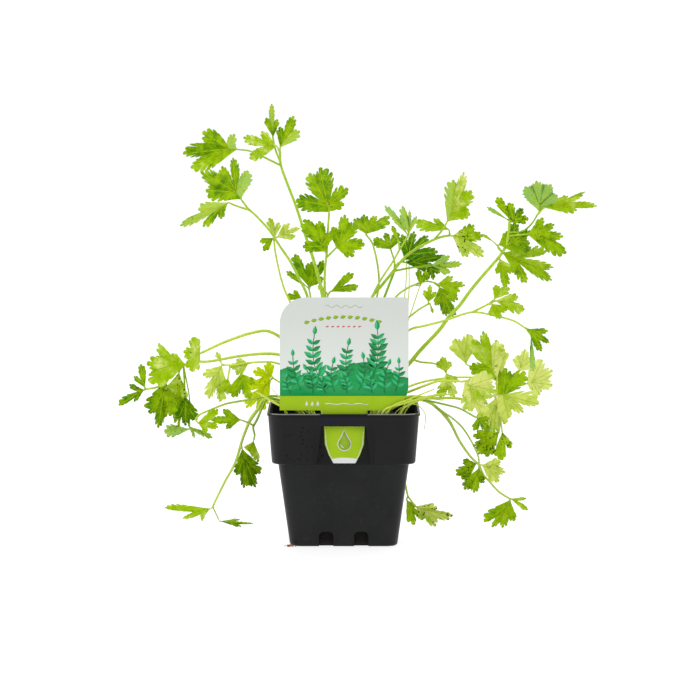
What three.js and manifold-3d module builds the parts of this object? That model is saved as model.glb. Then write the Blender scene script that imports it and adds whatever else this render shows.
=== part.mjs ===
// A potted flat-leaf parsley: a square nursery pot, the soil in it, the plant label in its holder
// and the fronds. Millimetres, +Z up. The origin is the middle of the pot's underside, and -Y is
// the front, which carries the label.
import * as THREE from 'three';
import { mergeVertices } from 'three/addons/utils/BufferGeometryUtils.js';
import Module from 'manifold-3d';

const wasm = await Module();
wasm.setup();

// Pot: half widths of its square sections, heights and corner radii
const potHeight = 88.5;
const rimHalf = 50;
const rimCorner = 12;
const collarBottom = 55;
const collarHalf = 47;
const bodyTopHalf = 42.9;
const baseHalf = 35.5;
const baseCorner = 8;
const wall = 1.4;
const floorThickness = 1.6;
const cornerSteps = 3;
const clearance = 0.3;

// Drain notches, two at the foot of each wall
const notchHalfWidth = 4.7;
const notchHeight = 10;
const notchOffset = 11.5;
const notchDepth = 6;

// Label holder in the front of the collar: a strap over the neck and a window below it
const holderBack = -44.6;
const holderInside = -42;
const holderHalf = 19;
const strapBottom = 80.4;
const strapInside = -48.1;
const windowTopHalf = 14.4;
const windowFootHalf = 17.5;
const slotHalf = 15.4;

// Label: a thin panel on a neck, with a tongue that shows in the window
const labelThickness = 0.6;
const panel = { left: -41.6, right: 42.3, bottom: 90.6, top: 164.3 };
const panelCorner = { topLeft: 17, topRight: 2, bottomRight: 16 };
const neck = { middle: 0.5, half: 14.2 };
const tongue = [[13.3, 80.4], [12.7, 68.4], [10.2, 61.5], [7.1, 56]];

// Soil and the stem ends that stand in it
const soilTop = 80;
const rootDepth = 12;
const holeClearance = 0.6;

// Leaves
const bladeThickness = 0.7;
const finestTooth = 3.9;
const stalkRadius = 0.55;
const slimStalkRadius = 0.45;
const bladeFoot = 0.6;
const sharpTurn = 0.4;

// The plant is laid out as it is seen from the front. A place is [across, up, back]: the first two
// say where its sight line crosses the plant's middle plane, and the third how far it lies behind
// that plane. The eye stands this far in front of the plane and this high above the ground.
const eyeDistance = 2650;
const eyeHeight = 335;
const inSpace = ([across, up, back]) => {
  const reach = 1 + back / eyeDistance;
  return new THREE.Vector3(across * reach, back, eyeHeight + (up - eyeHeight) * reach);
};

const leafGreen = (hex) => new THREE.MeshStandardMaterial({ color: hex, roughness: 0.55 });
const lushGreen = leafGreen(0x7db000);
const deepGreen = leafGreen(0x4f8a00);
const paleGreen = leafGreen(0xb4cc3c);
const potPlastic = new THREE.MeshStandardMaterial({ color: 0x2b2c2c, roughness: 0.42 });
const soilCrumb = new THREE.MeshStandardMaterial({ color: 0x2e2119, roughness: 0.95 });
const labelPlastic = new THREE.MeshStandardMaterial({ color: 0xe6e8e6, roughness: 0.3 });

// ---- solids ----

function solid(positions, triangles) {
  return new wasm.Manifold(new wasm.Mesh({
    numProp: 3,
    vertProperties: Float32Array.from(positions),
    triVerts: Uint32Array.from(triangles),
  }));
}

function solidOf(geometry) {
  geometry.deleteAttribute('normal');
  geometry.deleteAttribute('uv');
  const merged = mergeVertices(geometry, 1e-4);
  return solid(merged.attributes.position.array, merged.index.array);
}

function meshOf(name, shape, material) {
  const { vertProperties, triVerts } = shape.getMesh();
  const geometry = new THREE.BufferGeometry();
  geometry.setAttribute('position', new THREE.BufferAttribute(vertProperties, 3));
  geometry.setIndex(new THREE.BufferAttribute(triVerts, 1));
  geometry.computeVertexNormals();
  const mesh = new THREE.Mesh(geometry, material);
  mesh.name = name;
  return mesh;
}

const flatten = (points) => points.flatMap((point) => [point.x, point.y, point.z]);

// Side faces between two rings of vertex numbers, anticlockwise seen from the next ring's side
function bridge(ring, next) {
  return ring.flatMap((a, i) => {
    const j = (i + 1) % ring.length;
    return [a, ring[j], next[j], a, next[j], next[i]];
  });
}

// Closed skin over rings of equal count, each listed anticlockwise seen from the last ring's side
function skin(rings) {
  const count = rings[0].length;
  const numbers = rings.map((_, k) => Array.from({ length: count }, (__, i) => k * count + i));
  const triangles = numbers.slice(1).flatMap((next, k) => bridge(numbers[k], next));
  const last = (rings.length - 1) * count;
  for (let i = 1; i + 1 < count; i += 1) {
    triangles.push(0, i + 1, i, last, last + i, last + i + 1);
  }
  return solid(flatten(rings.flat()), triangles);
}

// Four-sided rings along a smooth curve through the given points: one at each of them, and one
// more in between where the curve turns. A side of each ring faces the given direction.
function stemRings(points, startRadius, endRadius, facing) {
  const curve = new THREE.CatmullRomCurve3(points, false, 'centripetal');
  const last = points.length - 1;
  const stations = [0];
  for (let i = 0; i < last; i += 1) {
    const turn = curve.getTangent(i / last).angleTo(curve.getTangent((i + 1) / last));
    if (turn > sharpTurn) stations.push((i + 0.5) / last);
    stations.push((i + 1) / last);
  }
  return stations.map((along) => {
    const tangent = curve.getTangent(along);
    const normal = facing.clone().addScaledVector(tangent, -facing.dot(tangent)).normalize();
    const binormal = tangent.clone().cross(normal);
    const radius = THREE.MathUtils.lerp(startRadius, endRadius, along) * Math.SQRT1_2;
    return [[1, -1], [1, 1], [-1, 1], [-1, -1]].map(([back, left]) => curve.getPoint(along)
      .addScaledVector(normal, back * radius).addScaledVector(binormal, left * radius));
  });
}

function box(x0, x1, y0, y1, z0, z1) {
  const geometry = new THREE.BoxGeometry(x1 - x0, y1 - y0, z1 - z0);
  geometry.translate((x0 + x1) / 2, (y0 + y1) / 2, (z0 + z1) / 2);
  return solidOf(geometry);
}

// A flat outline drawn across and up, swept back from y0 to y1
function plate(outline, y0, y1, curveSegments = 5) {
  const geometry = new THREE.ExtrudeGeometry(outline, {
    depth: y1 - y0, bevelEnabled: false, curveSegments,
  });
  geometry.rotateX(Math.PI / 2);
  geometry.translate(0, y1, 0);
  return solidOf(geometry);
}

// ---- pot ----

function squareRing(half, corner, z) {
  const ring = [];
  for (let quarter = 0; quarter < 4; quarter += 1) {
    const middle = quarter * (Math.PI / 2) + Math.PI / 4;
    const reach = (half - corner) * Math.SQRT2;
    for (let step = 0; step <= cornerSteps; step += 1) {
      const turn = quarter * (Math.PI / 2) + (step / cornerSteps) * (Math.PI / 2);
      ring.push(new THREE.Vector3(
        reach * Math.cos(middle) + corner * Math.cos(turn),
        reach * Math.sin(middle) + corner * Math.sin(turn),
        z,
      ));
    }
  }
  return ring;
}

function potShell() {
  const innerFoot = baseHalf - wall;
  return skin([
    squareRing(baseHalf - 2.8, baseCorner - 2.8, 0),
    squareRing(baseHalf - 0.8, baseCorner - 0.8, 0.9),
    squareRing(baseHalf, baseCorner, 3.4),
    squareRing(bodyTopHalf, baseCorner + 2, collarBottom),
    squareRing(collarHalf - 1.3, rimCorner - 2.3, collarBottom),
    squareRing(collarHalf, rimCorner - 1, collarBottom + 1.6),
    squareRing(rimHalf - 0.5, rimCorner - 0.5, potHeight - 2.4),
    squareRing(rimHalf, rimCorner, potHeight - 1.8),
    squareRing(rimHalf, rimCorner, potHeight - 0.4),
    squareRing(rimHalf - 0.4, rimCorner - 0.4, potHeight),
    squareRing(rimHalf - wall, rimCorner - wall, potHeight),
    squareRing(rimHalf - wall - 0.4, rimCorner - wall - 0.4, potHeight - 2.4),
    squareRing(collarHalf - wall, rimCorner - 1 - wall, collarBottom + wall + 0.6),
    squareRing(bodyTopHalf - wall, baseCorner + 2 - wall, collarBottom + wall),
    squareRing(innerFoot, baseCorner - wall, 3.6),
    squareRing(innerFoot - 1.8, baseCorner - wall - 1.8, floorThickness),
  ]);
}

function holderWindow() {
  const outline = new THREE.Shape();
  const foot = collarBottom - 0.5;
  const round = 3;
  outline.moveTo(-windowTopHalf, strapBottom);
  outline.lineTo(-windowFootHalf + 0.3, foot + round);
  outline.quadraticCurveTo(-windowFootHalf, foot, -windowFootHalf - round * 0.7, foot - 0.5);
  outline.lineTo(windowFootHalf + round * 0.7, foot - 0.5);
  outline.quadraticCurveTo(windowFootHalf, foot, windowFootHalf - 0.3, foot + round);
  outline.lineTo(windowTopHalf, strapBottom);
  return plate(outline, -rimHalf - 2, holderBack, 3);
}

function drainNotch(offset) {
  const outline = new THREE.Shape();
  const shoulder = notchHeight - notchHalfWidth;
  outline.moveTo(offset - notchHalfWidth, -1);
  outline.lineTo(offset + notchHalfWidth, -1);
  outline.lineTo(offset + notchHalfWidth, shoulder);
  outline.absarc(offset, shoulder, notchHalfWidth, 0, Math.PI, false);
  return plate(outline, -baseHalf - 3, -baseHalf + notchDepth, 3);
}

function pot() {
  const holderBlock = box(
    -holderHalf, holderHalf, strapInside - 0.6, holderInside, collarBottom + 0.1, potHeight - 0.6,
  );
  const slot = box(
    -slotHalf, slotHalf, strapInside, holderBack, strapBottom - 1, potHeight + 1,
  );
  let shape = potShell().add(holderBlock).subtract(holderWindow()).subtract(slot);
  for (const offset of [-notchOffset, notchOffset]) {
    const notch = drainNotch(offset);
    for (const turn of [0, 90, 180, 270]) {
      shape = shape.subtract(notch.rotate([0, 0, turn]));
    }
  }
  return meshOf('pot', shape, potPlastic);
}

// ---- label ----

function labelOutline() {
  const outline = new THREE.Shape();
  const { left, right, bottom, top } = panel;
  const { topLeft, topRight, bottomRight } = panelCorner;
  const { middle, half } = neck;
  outline.moveTo(left, bottom);
  outline.lineTo(middle - half, bottom);
  for (const [reach, height] of tongue) {
    outline.lineTo(middle - reach, height);
  }
  for (const [reach, height] of [...tongue].reverse()) {
    outline.lineTo(middle + reach, height);
  }
  outline.lineTo(middle + half, bottom);
  outline.lineTo(right - bottomRight, bottom);
  outline.absarc(right - bottomRight, bottom + bottomRight, bottomRight, -Math.PI / 2, 0, false);
  outline.lineTo(right, top - topRight);
  outline.absarc(right - topRight, top - topRight, topRight, 0, Math.PI / 2, false);
  outline.lineTo(left + topLeft, top);
  outline.absarc(left + topLeft, top - topLeft, topLeft, Math.PI / 2, Math.PI, false);
  return outline;
}

function label() {
  const back = holderBack - clearance;
  return meshOf('label', plate(labelOutline(), back - labelThickness, back, 8), labelPlastic);
}

// ---- fronds ----

// One leaflet: a blade with a lobe to each tip, three teeth to a lobe, on a stalk that runs into it.
// base is where the blade starts, and tips are [across, up] from one side of the blade round to the
// other. lean says how far the blade goes back for each millimetre across and up, bend curls its
// ends back, breadth narrows its lobes, and stalk lists the stalk's points from the stem to base.
const leaf = (base, tips, lean, { stalk = [], breadth = 1, bend = 0.25 } = {}) => (
  { base, tips, lean, stalk, breadth, bend });

function lobeTeeth(lobe, [right, left]) {
  const { origin, axis, side, length } = lobe;
  const at = (along, across) => origin.clone()
    .addScaledVector(axis, along * length).addScaledVector(side, across);
  const teeth = (width) => [at(0.7, width)]
    .concat(Math.abs(width) > finestTooth ? [at(0.8, width * 0.6), at(0.9, width * 0.5)] : []);
  return [...teeth(-right), at(1, 0), ...teeth(left).reverse()];
}

function leaflet({ base, tips, lean, stalk, breadth, bend }) {
  const foot = new THREE.Vector2(base[0], base[1]);
  const ends = tips.map(([across, up]) => new THREE.Vector2(across, up));
  const mean = ends.reduce((sum, end) => sum.add(end), new THREE.Vector2())
    .divideScalar(ends.length).sub(foot);
  const fork = foot.clone().addScaledVector(mean, 0.26);
  const heading = mean.angle();
  const lobes = ends.map((end) => {
    const reach = end.clone().sub(fork);
    const length = reach.length();
    const axis = reach.divideScalar(length);
    const turn = Math.atan2(Math.sin(axis.angle() - heading), Math.cos(axis.angle() - heading));
    return { origin: fork, end, axis, side: new THREE.Vector2(-axis.y, axis.x), length, turn };
  }).sort((one, other) => one.turn - other.turn);

  const across = new THREE.Vector2(-mean.y, mean.x).normalize();
  const outline = [foot.clone().addScaledVector(across, -bladeFoot)];
  const starts = [];
  lobes.forEach((lobe, i) => {
    const widths = [lobes[i - 1], lobes[i + 1]].map((neighbour) => {
      const free = (ends.length > 3 ? 0.32 : 0.4) * breadth * lobe.length;
      if (!neighbour) return free;
      const gap = Math.abs(neighbour.turn - lobe.turn) / 2;
      return Math.min(free, 0.66 * lobe.length * Math.tan(Math.min(gap, 1.2)));
    });
    starts.push(outline.length - 1);
    outline.push(...lobeTeeth(lobe, widths));
    const next = lobes[i + 1];
    if (next) {
      const gap = next.turn - lobe.turn;
      const reach = THREE.MathUtils.clamp(0.78 - 0.42 * gap, 0.36, 0.72)
        * Math.min(lobe.length, next.length);
      const middle = lobe.axis.clone().add(next.axis).normalize();
      outline.push(fork.clone().addScaledVector(middle, reach));
    }
  });
  outline.push(foot.clone().addScaledVector(across, bladeFoot));

  const hearts = lobes.map((lobe) => fork.clone().addScaledVector(lobe.axis, 0.5 * lobe.length));
  const flat = [...outline, ...hearts, fork];
  const forkIndex = flat.length - 1;
  const span = Math.max(...lobes.map((lobe) => lobe.length));
  const behind = new THREE.Vector3(-lean[0], 1, -lean[1]).normalize();
  const middleSurface = flat.map((point, i) => {
    const out = point.clone().sub(foot);
    const curl = (bend * out.lengthSq()) / span;
    const ripple = i < outline.length ? (i % 2 ? 0.35 : -0.35) : -0.04 * span;
    const back = base[2] + lean[0] * out.x + lean[1] * out.y + curl + ripple;
    return inSpace([point.x, point.y, back]);
  });

  const faces = [[forkIndex, outline.length - 1, 0]];
  lobes.forEach((lobe, i) => {
    const heart = outline.length + i;
    const first = starts[i];
    const last = i + 1 < lobes.length ? starts[i + 1] : outline.length - 1;
    faces.push([heart, forkIndex, first], [heart, last, forkIndex]);
    for (let k = first; k < last; k += 1) faces.push([heart, k, k + 1]);
  });

  const halfThick = bladeThickness / 2;
  const front = middleSurface.map((point) => point.clone().addScaledVector(behind, -halfThick));
  const rear = middleSurface.map((point) => point.clone().addScaledVector(behind, halfThick));
  const count = flat.length;
  const triangles = faces.flatMap(([a, b, c]) => [a, b, c, a + count, c + count, b + count]);
  for (let i = 0; i + 1 < outline.length; i += 1) {
    triangles.push(i + 1, i, i + count, i + 1, i + count, i + 1 + count);
  }

  const radius = breadth < 0.6 ? slimStalkRadius : stalkRadius;
  const stalkPoints = [...stalk, base].map(inSpace);
  const rings = stemRings(stalkPoints, radius, radius, behind).slice(0, -1);
  let ring = [0, 1, 2, 3].map((i) => 2 * count + i);
  triangles.push(ring[0], ring[2], ring[1], ring[0], ring[3], ring[2]);
  for (let k = 1; k < rings.length; k += 1) {
    const next = ring.map((i) => i + 4);
    triangles.push(...bridge(ring, next));
    ring = next;
  }
  const end = outline.length - 1;
  triangles.push(...bridge(ring, [count, count + end, end, 0]));
  return solid(flatten([...front, ...rear, ...rings.flat()]), triangles);
}

// A frond: its stem from the root in the soil to the last leaflets, and the leaflets on it
const fronds = [];
function frond(name, material, root, girth, route, leaflets) {
  fronds.push({ name, material, root, girth, route, leaflets });
}

function frondMesh({ name, material, root, girth, route, leaflets }) {
  const [x, y] = root;
  const foot = [soilTop - rootDepth, soilTop - 4, soilTop + 3]
    .map((z) => new THREE.Vector3(x, y, z));
  const points = [...foot, ...route.map(inSpace)];
  const pieces = [skin(stemRings(points, girth[0], girth[1], new THREE.Vector3(0.3, 1, 0.1)))];
  for (const each of leaflets) {
    const stalk = each.stalk.length ? each.stalk : [route.at(-1)];
    pieces.push(leaflet({ ...each, stalk }));
  }
  const whole = wasm.Manifold.union(pieces).decompose();
  whole.sort((one, other) => other.numTri() - one.numTri());
  return meshOf(name, whole[0], material);
}

// Upper left
frond('frond_tall_left', lushGreen, [-9, 0], [1.6, 0.8], [
  [-11, 118, 1.5], [-14, 162, 4], [-19, 183, 5.5], [-25.5, 203, 8.5], [-32, 223, 10],
  [-37, 236, 11],
  [-41.5, 249, 11], [-42, 257, 11],
], [
  leaf([-70, 259, 5.5], [[-72, 269], [-89, 271], [-105, 255], [-102, 244]], [0.25, 0.5],
    { stalk: [[-41.5, 248.5, 11], [-55, 255, 8.5], [-62, 258, 7]] }),
  leaf([-42, 260, 11], [[-29, 271], [-33, 281], [-42, 274]], [0.3, 0.2]),
  leaf([-44, 261, 10], [[-53, 272], [-62, 269], [-61, 254]], [-0.4, -0.3]),
  leaf([-46.7, 267, 18], [[-44, 279], [-47.5, 289], [-51, 280]], [1.2, -0.3],
    { stalk: [[-41.5, 250, 11], [-45, 259, 15.5]] }),
]);
frond('frond_high_left', lushGreen, [-12, -12], [1.2, 0.7], [
  [-16, 118, -19.5], [-24, 162, -24], [-29, 173, -26.5], [-35.5, 185.5, -29.5], [-42, 195, -32],
  [-48.5, 205, -35], [-58, 215.5, -38], [-62.5, 219.5, -39], [-66, 224, -39],
], [
  leaf([-76, 224, -45], [[-97, 223], [-107, 210], [-93, 208], [-81, 213]], [0.2, 0.7],
    { stalk: [[-62, 219, -39], [-70, 221.5, -42]] }),
  leaf([-67.5, 226, -39], [[-60, 247], [-71, 253], [-80, 248], [-94, 244], [-91, 232]],
    [-0.2, 0.4]),
]);
frond('frond_thin_left', paleGreen, [-14, 10], [0.9, 0.6], [
  [-22, 118, 19.5], [-35, 157, 28], [-39, 166, 31], [-42, 176, 32], [-44, 185, 33.5],
  [-45.5, 193, 33.5], [-46, 199, 33.5],
], [
  leaf([-45.5, 201, 33.5], [[-43, 211], [-49, 214]], [0.5, -0.3]),
  leaf([-44.5, 201, 33.5], [[-32, 202], [-29, 207], [-36, 210]], [0.6, 0.5]),
  leaf([-46.5, 200.5, 33.5], [[-55.5, 198], [-53, 192]], [0.5, 0.8]),
]);
frond('frond_centre', lushGreen, [-4, -11], [1.1, 0.7], [
  [-7, 118, -19.5], [-12, 160, -25], [-12.5, 176, -26.5], [-11, 193, -28], [-10.5, 203, -28],
  [-9.7, 216, -26.5],
], [
  leaf([-9.7, 217.5, -26.5], [[0.5, 223], [3.5, 235], [-14, 247], [-24, 239], [-30, 224]],
    [0.3, 0.45]),
  leaf([-12, 191.5, -29.5], [[-8.5, 204], [-16, 212], [-26, 213], [-27, 195]], [-0.4, -0.2],
    { stalk: [[-11, 189, -28]] }),
  leaf([-5, 194, -31], [[7, 188.5], [14, 196], [8, 211], [1, 216], [-7, 208]], [-0.3, 0.3],
    { stalk: [[-11, 188, -28]] }),
]);
frond('frond_inner_left', lushGreen, [-9, 14], [0.8, 0.6], [
  [-14, 115, 25], [-20, 148, 31], [-22, 162, 33.5], [-23, 167, 33.5],
], [
  leaf([-23, 168, 33.5], [[-24, 184], [-32, 190]], [0.3, 0.4]),
  leaf([-22.5, 168, 33.5], [[-13, 174], [-13.5, 186], [-21, 185]], [-0.2, -0.2]),
  leaf([-24, 168, 33.5], [[-38, 178.5]], [0.5, 0.5], { breadth: 0.5 }),
  leaf([-27.5, 160, 35], [[-33, 166], [-38, 163]], [0.4, -0.5], { stalk: [[-22, 160, 33.5]] }),
]);
frond('frond_inner_centre', lushGreen, [-1, 8], [0.8, 0.6], [
  [-4, 112, 14], [-9, 145, 17], [-11, 158, 18], [-10.5, 163, 18],
], [
  leaf([-9, 165, 18.5], [[9.5, 169], [6.5, 177]], [0.4, 0.3]),
  leaf([-11, 164, 18], [[-17, 169]], [0.4, 0.3]),
]);

// Upper right
frond('frond_upper_centre', lushGreen, [5, 0], [1, 0.6], [
  [9, 118, 3], [18, 148, 5.5], [22, 162, 7], [23.3, 172, 8.5], [22.6, 181, 8.5], [20.7, 191, 8.5],
  [18.7, 197.5, 8.5], [15.5, 202, 8.5],
], [
  leaf([14.7, 203, 8.5], [[30, 215], [22, 215], [13, 216], [6.5, 213]], [0.2, 0.6]),
]);
frond('frond_upper_thin', lushGreen, [5, -12], [0.9, 0.6], [
  [9, 118, -21], [15, 148, -24], [19, 162, -25], [24.6, 173, -26.5], [32.5, 185, -28],
  [37, 193, -28], [42, 201, -28],
], [
  leaf([43, 203, -28], [[48, 215], [43.5, 219], [39, 222]], [0.3, 0.4]),
  leaf([43, 205, -28], [[27, 222]], [0.3, 1], { breadth: 0.4 }),
  leaf([42, 203, -28], [[37, 215], [32, 215.5]], [0.4, 0.3]),
  leaf([36, 199, -29.5], [[32, 208.5]], [0.4, 0.3], { breadth: 0.7, stalk: [[37, 193, -28]] }),
]);
frond('frond_upper_right', lushGreen, [8, 8], [1.5, 0.8], [
  [11, 118, 14], [16, 148, 17], [19, 162, 18], [24, 168, 19.5], [30.6, 176, 21], [40, 187.5, 22.5],
  [50.5, 195, 25], [63.5, 201, 28], [70, 202.3, 29.5],
], [
  leaf([71.5, 202, 29.5], [[82, 188], [92, 188], [92, 202], [86, 209]], [0.2, 0.5]),
  leaf([68, 211, 24], [[83, 219], [85, 234], [80, 244], [70, 239]], [0.3, 0.2],
    { stalk: [[60, 200, 27.5], [65.5, 206.5, 25]] }),
  leaf([69.5, 204.5, 29.5], [[58, 211], [47, 209]], [0.2, 0.9]),
]);
frond('frond_dark_right', deepGreen, [7, 17], [1.2, 0.8], [
  [12, 118, 36.5], [20, 145, 46], [27, 162, 52], [32, 175, 56], [36, 184, 57.5], [39, 185, 59],
], [
  leaf([31, 193, 59], [[36, 204], [27, 204], [20.5, 203.5]], [0.3, 0.4],
    { stalk: [[33, 177, 56], [33.5, 184, 57.5]] }),
  leaf([39.8, 186, 59], [[57, 193], [55.6, 202], [46.4, 205], [38.5, 203]], [0.3, 0.3]),
  leaf([40, 184.5, 59], [[61, 181], [67, 189], [54, 189]], [0.2, -0.6]),
  leaf([57, 182, 61.5], [[70.5, 178], [78, 183.5], [70, 188.5]], [0.3, 0.4],
    { stalk: [[34, 179, 56], [45, 181, 59]] }),
  leaf([57, 183, 61.5], [[63.5, 177.5], [59, 173], [55, 172.5]], [-0.3, -0.5],
    { stalk: [[50, 181.5, 60]] }),
]);
frond('frond_mid_right', lushGreen, [13, 1], [1, 0.6], [
  [19, 115, 0], [28, 145, -3], [34, 161, -4], [40.5, 166.5, -4], [49, 170.5, -5.5],
  [55.5, 172, -7], [60, 171, -8.5],
], [
  leaf([50.4, 169, -7], [[55, 178.5], [49.5, 180]], [0.3, -0.4], { stalk: [[47, 169.8, -5.5]] }),
  leaf([61.5, 170, -8.5], [[77, 165.5], [80, 169], [72, 175]], [0.2, 0.6]),
  leaf([63, 168.5, -8.5], [[60.5, 156], [68, 149], [72.5, 147.5], [75.5, 160]], [0.3, -0.4]),
]);
frond('frond_small_right', lushGreen, [12, -9], [0.8, 0.6], [
  [18, 115, -21], [30, 138, -28], [43, 148, -33.5], [50, 153.5, -35], [56, 157, -36.5],
], [
  leaf([56, 158, -36.5], [[61, 165], [57, 169.5], [53, 166]], [0.3, 0.3]),
  leaf([57, 157.5, -36.5], [[59, 151]], [0.3, 0.3], { breadth: 0.6 }),
]);

// Right side
frond('frond_big_right', lushGreen, [20, -5], [1.6, 0.9], [
  [30, 105, -10], [42, 116, -12.5], [50.5, 126, -14], [57, 133, -15.5], [63.5, 140, -17],
  [70, 149, -18], [77, 156.5, -19.5], [83.5, 165.5, -19.5], [90, 173.5, -19.5], [96.5, 181, -19.5],
  [102.5, 188, -19.5], [106.5, 194, -19.5], [108.5, 201, -18], [109.5, 212, -18],
], [
  leaf([102, 196, -21], [[123.5, 193.5], [121, 200], [108, 205]], [0.2, 0.5],
    { stalk: [[105, 191, -19.5], [102, 194, -21]] }),
  leaf([99, 198, -21], [[91.5, 203]], [0.3, 0.4],
    { breadth: 0.5, stalk: [[105, 191, -19.5], [101, 196, -21]] }),
  leaf([104.5, 191, -19.5], [[120, 171], [132, 172], [139, 180], [134, 191]], [0.3, 0.4],
    { stalk: [[102, 187, -19.5]] }),
  leaf([103, 187, -21], [[99, 177], [106, 168], [112, 178]], [-0.3, -0.4],
    { stalk: [[101, 186.5, -19.5]] }),
  leaf([121, 203, -19.5], [[147, 190], [144, 199], [137, 206], [130, 212]], [0.2, 0.5],
    { stalk: [[108.5, 202, -18]] }),
  leaf([109.5, 197, -19.5], [[123, 197], [123.5, 205], [117, 207]], [-0.2, 0.3],
    { stalk: [[107, 195, -19.5]] }),
  leaf([110.5, 211, -18], [[121.5, 214.5], [117, 220], [109, 224]], [-0.3, -0.2]),
  leaf([109.5, 213, -17], [[99, 227]], [0.3, -0.5], { breadth: 0.6 }),
  leaf([108.5, 212.5, -17], [[94.5, 221]], [0.3, -0.7], { breadth: 0.4 }),
  leaf([129, 218, -11], [[139.5, 229], [134, 236], [125, 238], [118, 231.5]], [0.3, -0.2],
    { stalk: [[109, 204, -18], [118, 205, -17], [124, 210, -14]] }),
  leaf([132, 220.5, -11], [[154, 219], [167, 221.5], [159, 231], [148, 228]], [0.15, 0.6],
    { stalk: [[127, 215, -12.5]] }),
  leaf([68, 112, -25], [[64, 121], [71, 119]], [0.3, 0.4],
    { stalk: [[46, 120, -14], [51, 118.5, -17], [60, 117.5, -21], [65.5, 115, -24]] }),
  leaf([68, 111, -25], [[64, 95], [73, 95], [76, 106]], [0.3, 0.4], { stalk: [[65.5, 115, -24]] }),
]);
frond('frond_right_low_arch', lushGreen, [18, -16], [1, 0.6], [
  [24, 110, -28], [34, 130, -33.5], [44, 140, -38], [53.5, 142.5, -40.5], [63.5, 145, -43.5],
  [70, 147, -45], [85, 151.5, -47.5], [98.5, 149.5, -50.5], [113, 145.5, -53], [120, 141, -53],
], [
  leaf([99.5, 160, -49], [[109.5, 167.5], [100.5, 169.5]], [0.4, 0.2],
    { stalk: [[85, 151.5, -47.5], [96.5, 157.5, -49]] }),
  leaf([100, 159, -49], [[119.5, 153], [115.5, 161.5]], [0.2, 0.6],
    { stalk: [[96, 157, -49]] }),
  leaf([98, 157, -50.5], [[97, 149], [103.5, 147], [108, 152.5]], [-0.3, 0.4],
    { stalk: [[95, 156.7, -49]] }),
  leaf([121.5, 140.5, -53], [[131, 125.5], [136, 131], [135, 139]], [0.3, 0.5]),
  leaf([124, 136, -53], [[125.6, 112.5]], [2, 0.2], { breadth: 0.35, stalk: [[121, 140, -53]] }),
]);
frond('frond_right_broad', lushGreen, [22, 4], [1.3, 0.8], [
  [32, 92, 8.5], [44, 95.5, 10], [57, 94.5, 11], [73.5, 94.5, 12.5], [82, 93.5, 12.5],
  [101, 96.5, 14],
], [
  leaf([101.5, 96.6, 14], [[109, 81], [119, 85], [129, 92], [120, 112], [107, 114.5]],
    [0.25, 0.3]),
  leaf([101, 95, 11], [[95, 76], [100, 71], [104.5, 79]], [0.3, -0.3],
    { stalk: [[99, 96.3, 14]] }),
  leaf([101.5, 107.5, 15.5], [[100.5, 133], [92, 139], [85, 133], [83, 115]], [0.3, 0.3],
    { stalk: [[101, 96.5, 14]] }),
  leaf([103, 108, 19.5], [[106, 128], [99, 130]], [0.2, 0.1], { stalk: [[101.3, 104, 15.5]] }),
  leaf([81, 117, 26.5], [[82, 137], [73.5, 134]], [0.3, 0.3],
    { stalk: [[101.4, 106, 15.5], [92, 111, 24]] }),
  leaf([103, 72, 18], [[85.5, 69], [85.5, 62.5], [89, 57], [95, 56]], [0.2, 0.4],
    { stalk: [[100, 96.4, 14], [103, 85, 18]] }),
  leaf([104, 72, 18], [[109, 60], [103, 53]], [0.6, 0.5],
    { breadth: 0.7, stalk: [[103, 85, 18]] }),
]);
frond('frond_right_front', paleGreen, [25, -12], [1.1, 0.7], [
  [34, 95, -24], [44, 99, -28], [50.5, 101.5, -31], [57, 104, -33.5], [64, 106, -36.5],
  [79, 105.5, -42],
], [
  leaf([80, 106, -42], [[82, 88], [91, 84], [99, 100], [97, 114]], [0.3, 0.4]),
]);
frond('frond_right_dark', deepGreen, [28, -5], [0.9, 0.6], [
  [38, 93, -11], [46, 94.5, -14], [57, 92.5, -17], [70, 89.5, -19.5], [77, 87.5, -21],
  [87, 82, -22.5],
], [
  leaf([88.6, 81.5, -22.5], [[86, 73], [96.5, 72.5], [96.5, 81]], [0.3, 0.4]),
]);
frond('frond_right_back', paleGreen, [20, 14], [0.9, 0.6], [
  [30, 95, 31], [48, 104, 45], [70, 108, 56], [95, 108, 64.5], [112, 107, 68.5], [119, 104.5, 70],
], [
  leaf([116, 112, 70], [[125, 120], [119.7, 127], [115, 123]], [0.2, 0.3],
    { stalk: [[108, 107.3, 68]] }),
  leaf([121, 104, 70], [[129.5, 96.5], [138, 103], [138, 113], [131, 120]], [0.3, 0.3]),
]);
frond('frond_floor_right', lushGreen, [28, 10], [1.2, 0.7], [
  [36, 90, 13], [44, 92.5, 16], [50.5, 93.5, 18], [57, 91.5, 21], [63.5, 86.5, 24], [70, 79, 28],
  [77, 65.5, 34], [84.5, 55, 39], [89.5, 50, 42], [92.5, 43.5, 45], [96.5, 39, 47],
  [103, 32, 50], [110, 27.5, 52],
], [
  leaf([88, 51, 42], [[79, 53.5], [74.5, 43], [78, 40.5]], [0.3, 0.3],
    { stalk: [[89.5, 50, 42]] }),
  leaf([89.5, 48, 43], [[80, 33.5], [86, 31.5], [93, 38]], [0.2, 0.3],
    { stalk: [[60, 89.5, 22], [67, 84.5, 24], [71.5, 81.5, 27], [78.5, 75, 31], [86, 63, 36],
      [89.5, 54, 41]] }),
  leaf([91.5, 50, 43], [[103, 39], [107, 45], [104, 52]], [0.2, 0.5],
    { stalk: [[89.5, 50, 42]] }),
  leaf([110.5, 27.5, 52], [[122, 20], [121, 27.5]], [0.3, 0.5]),
  leaf([110.5, 27, 52], [[113, 14], [105, 8], [98, 9.5], [93, 14]], [0, -0.15], { bend: 0 }),
]);
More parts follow.
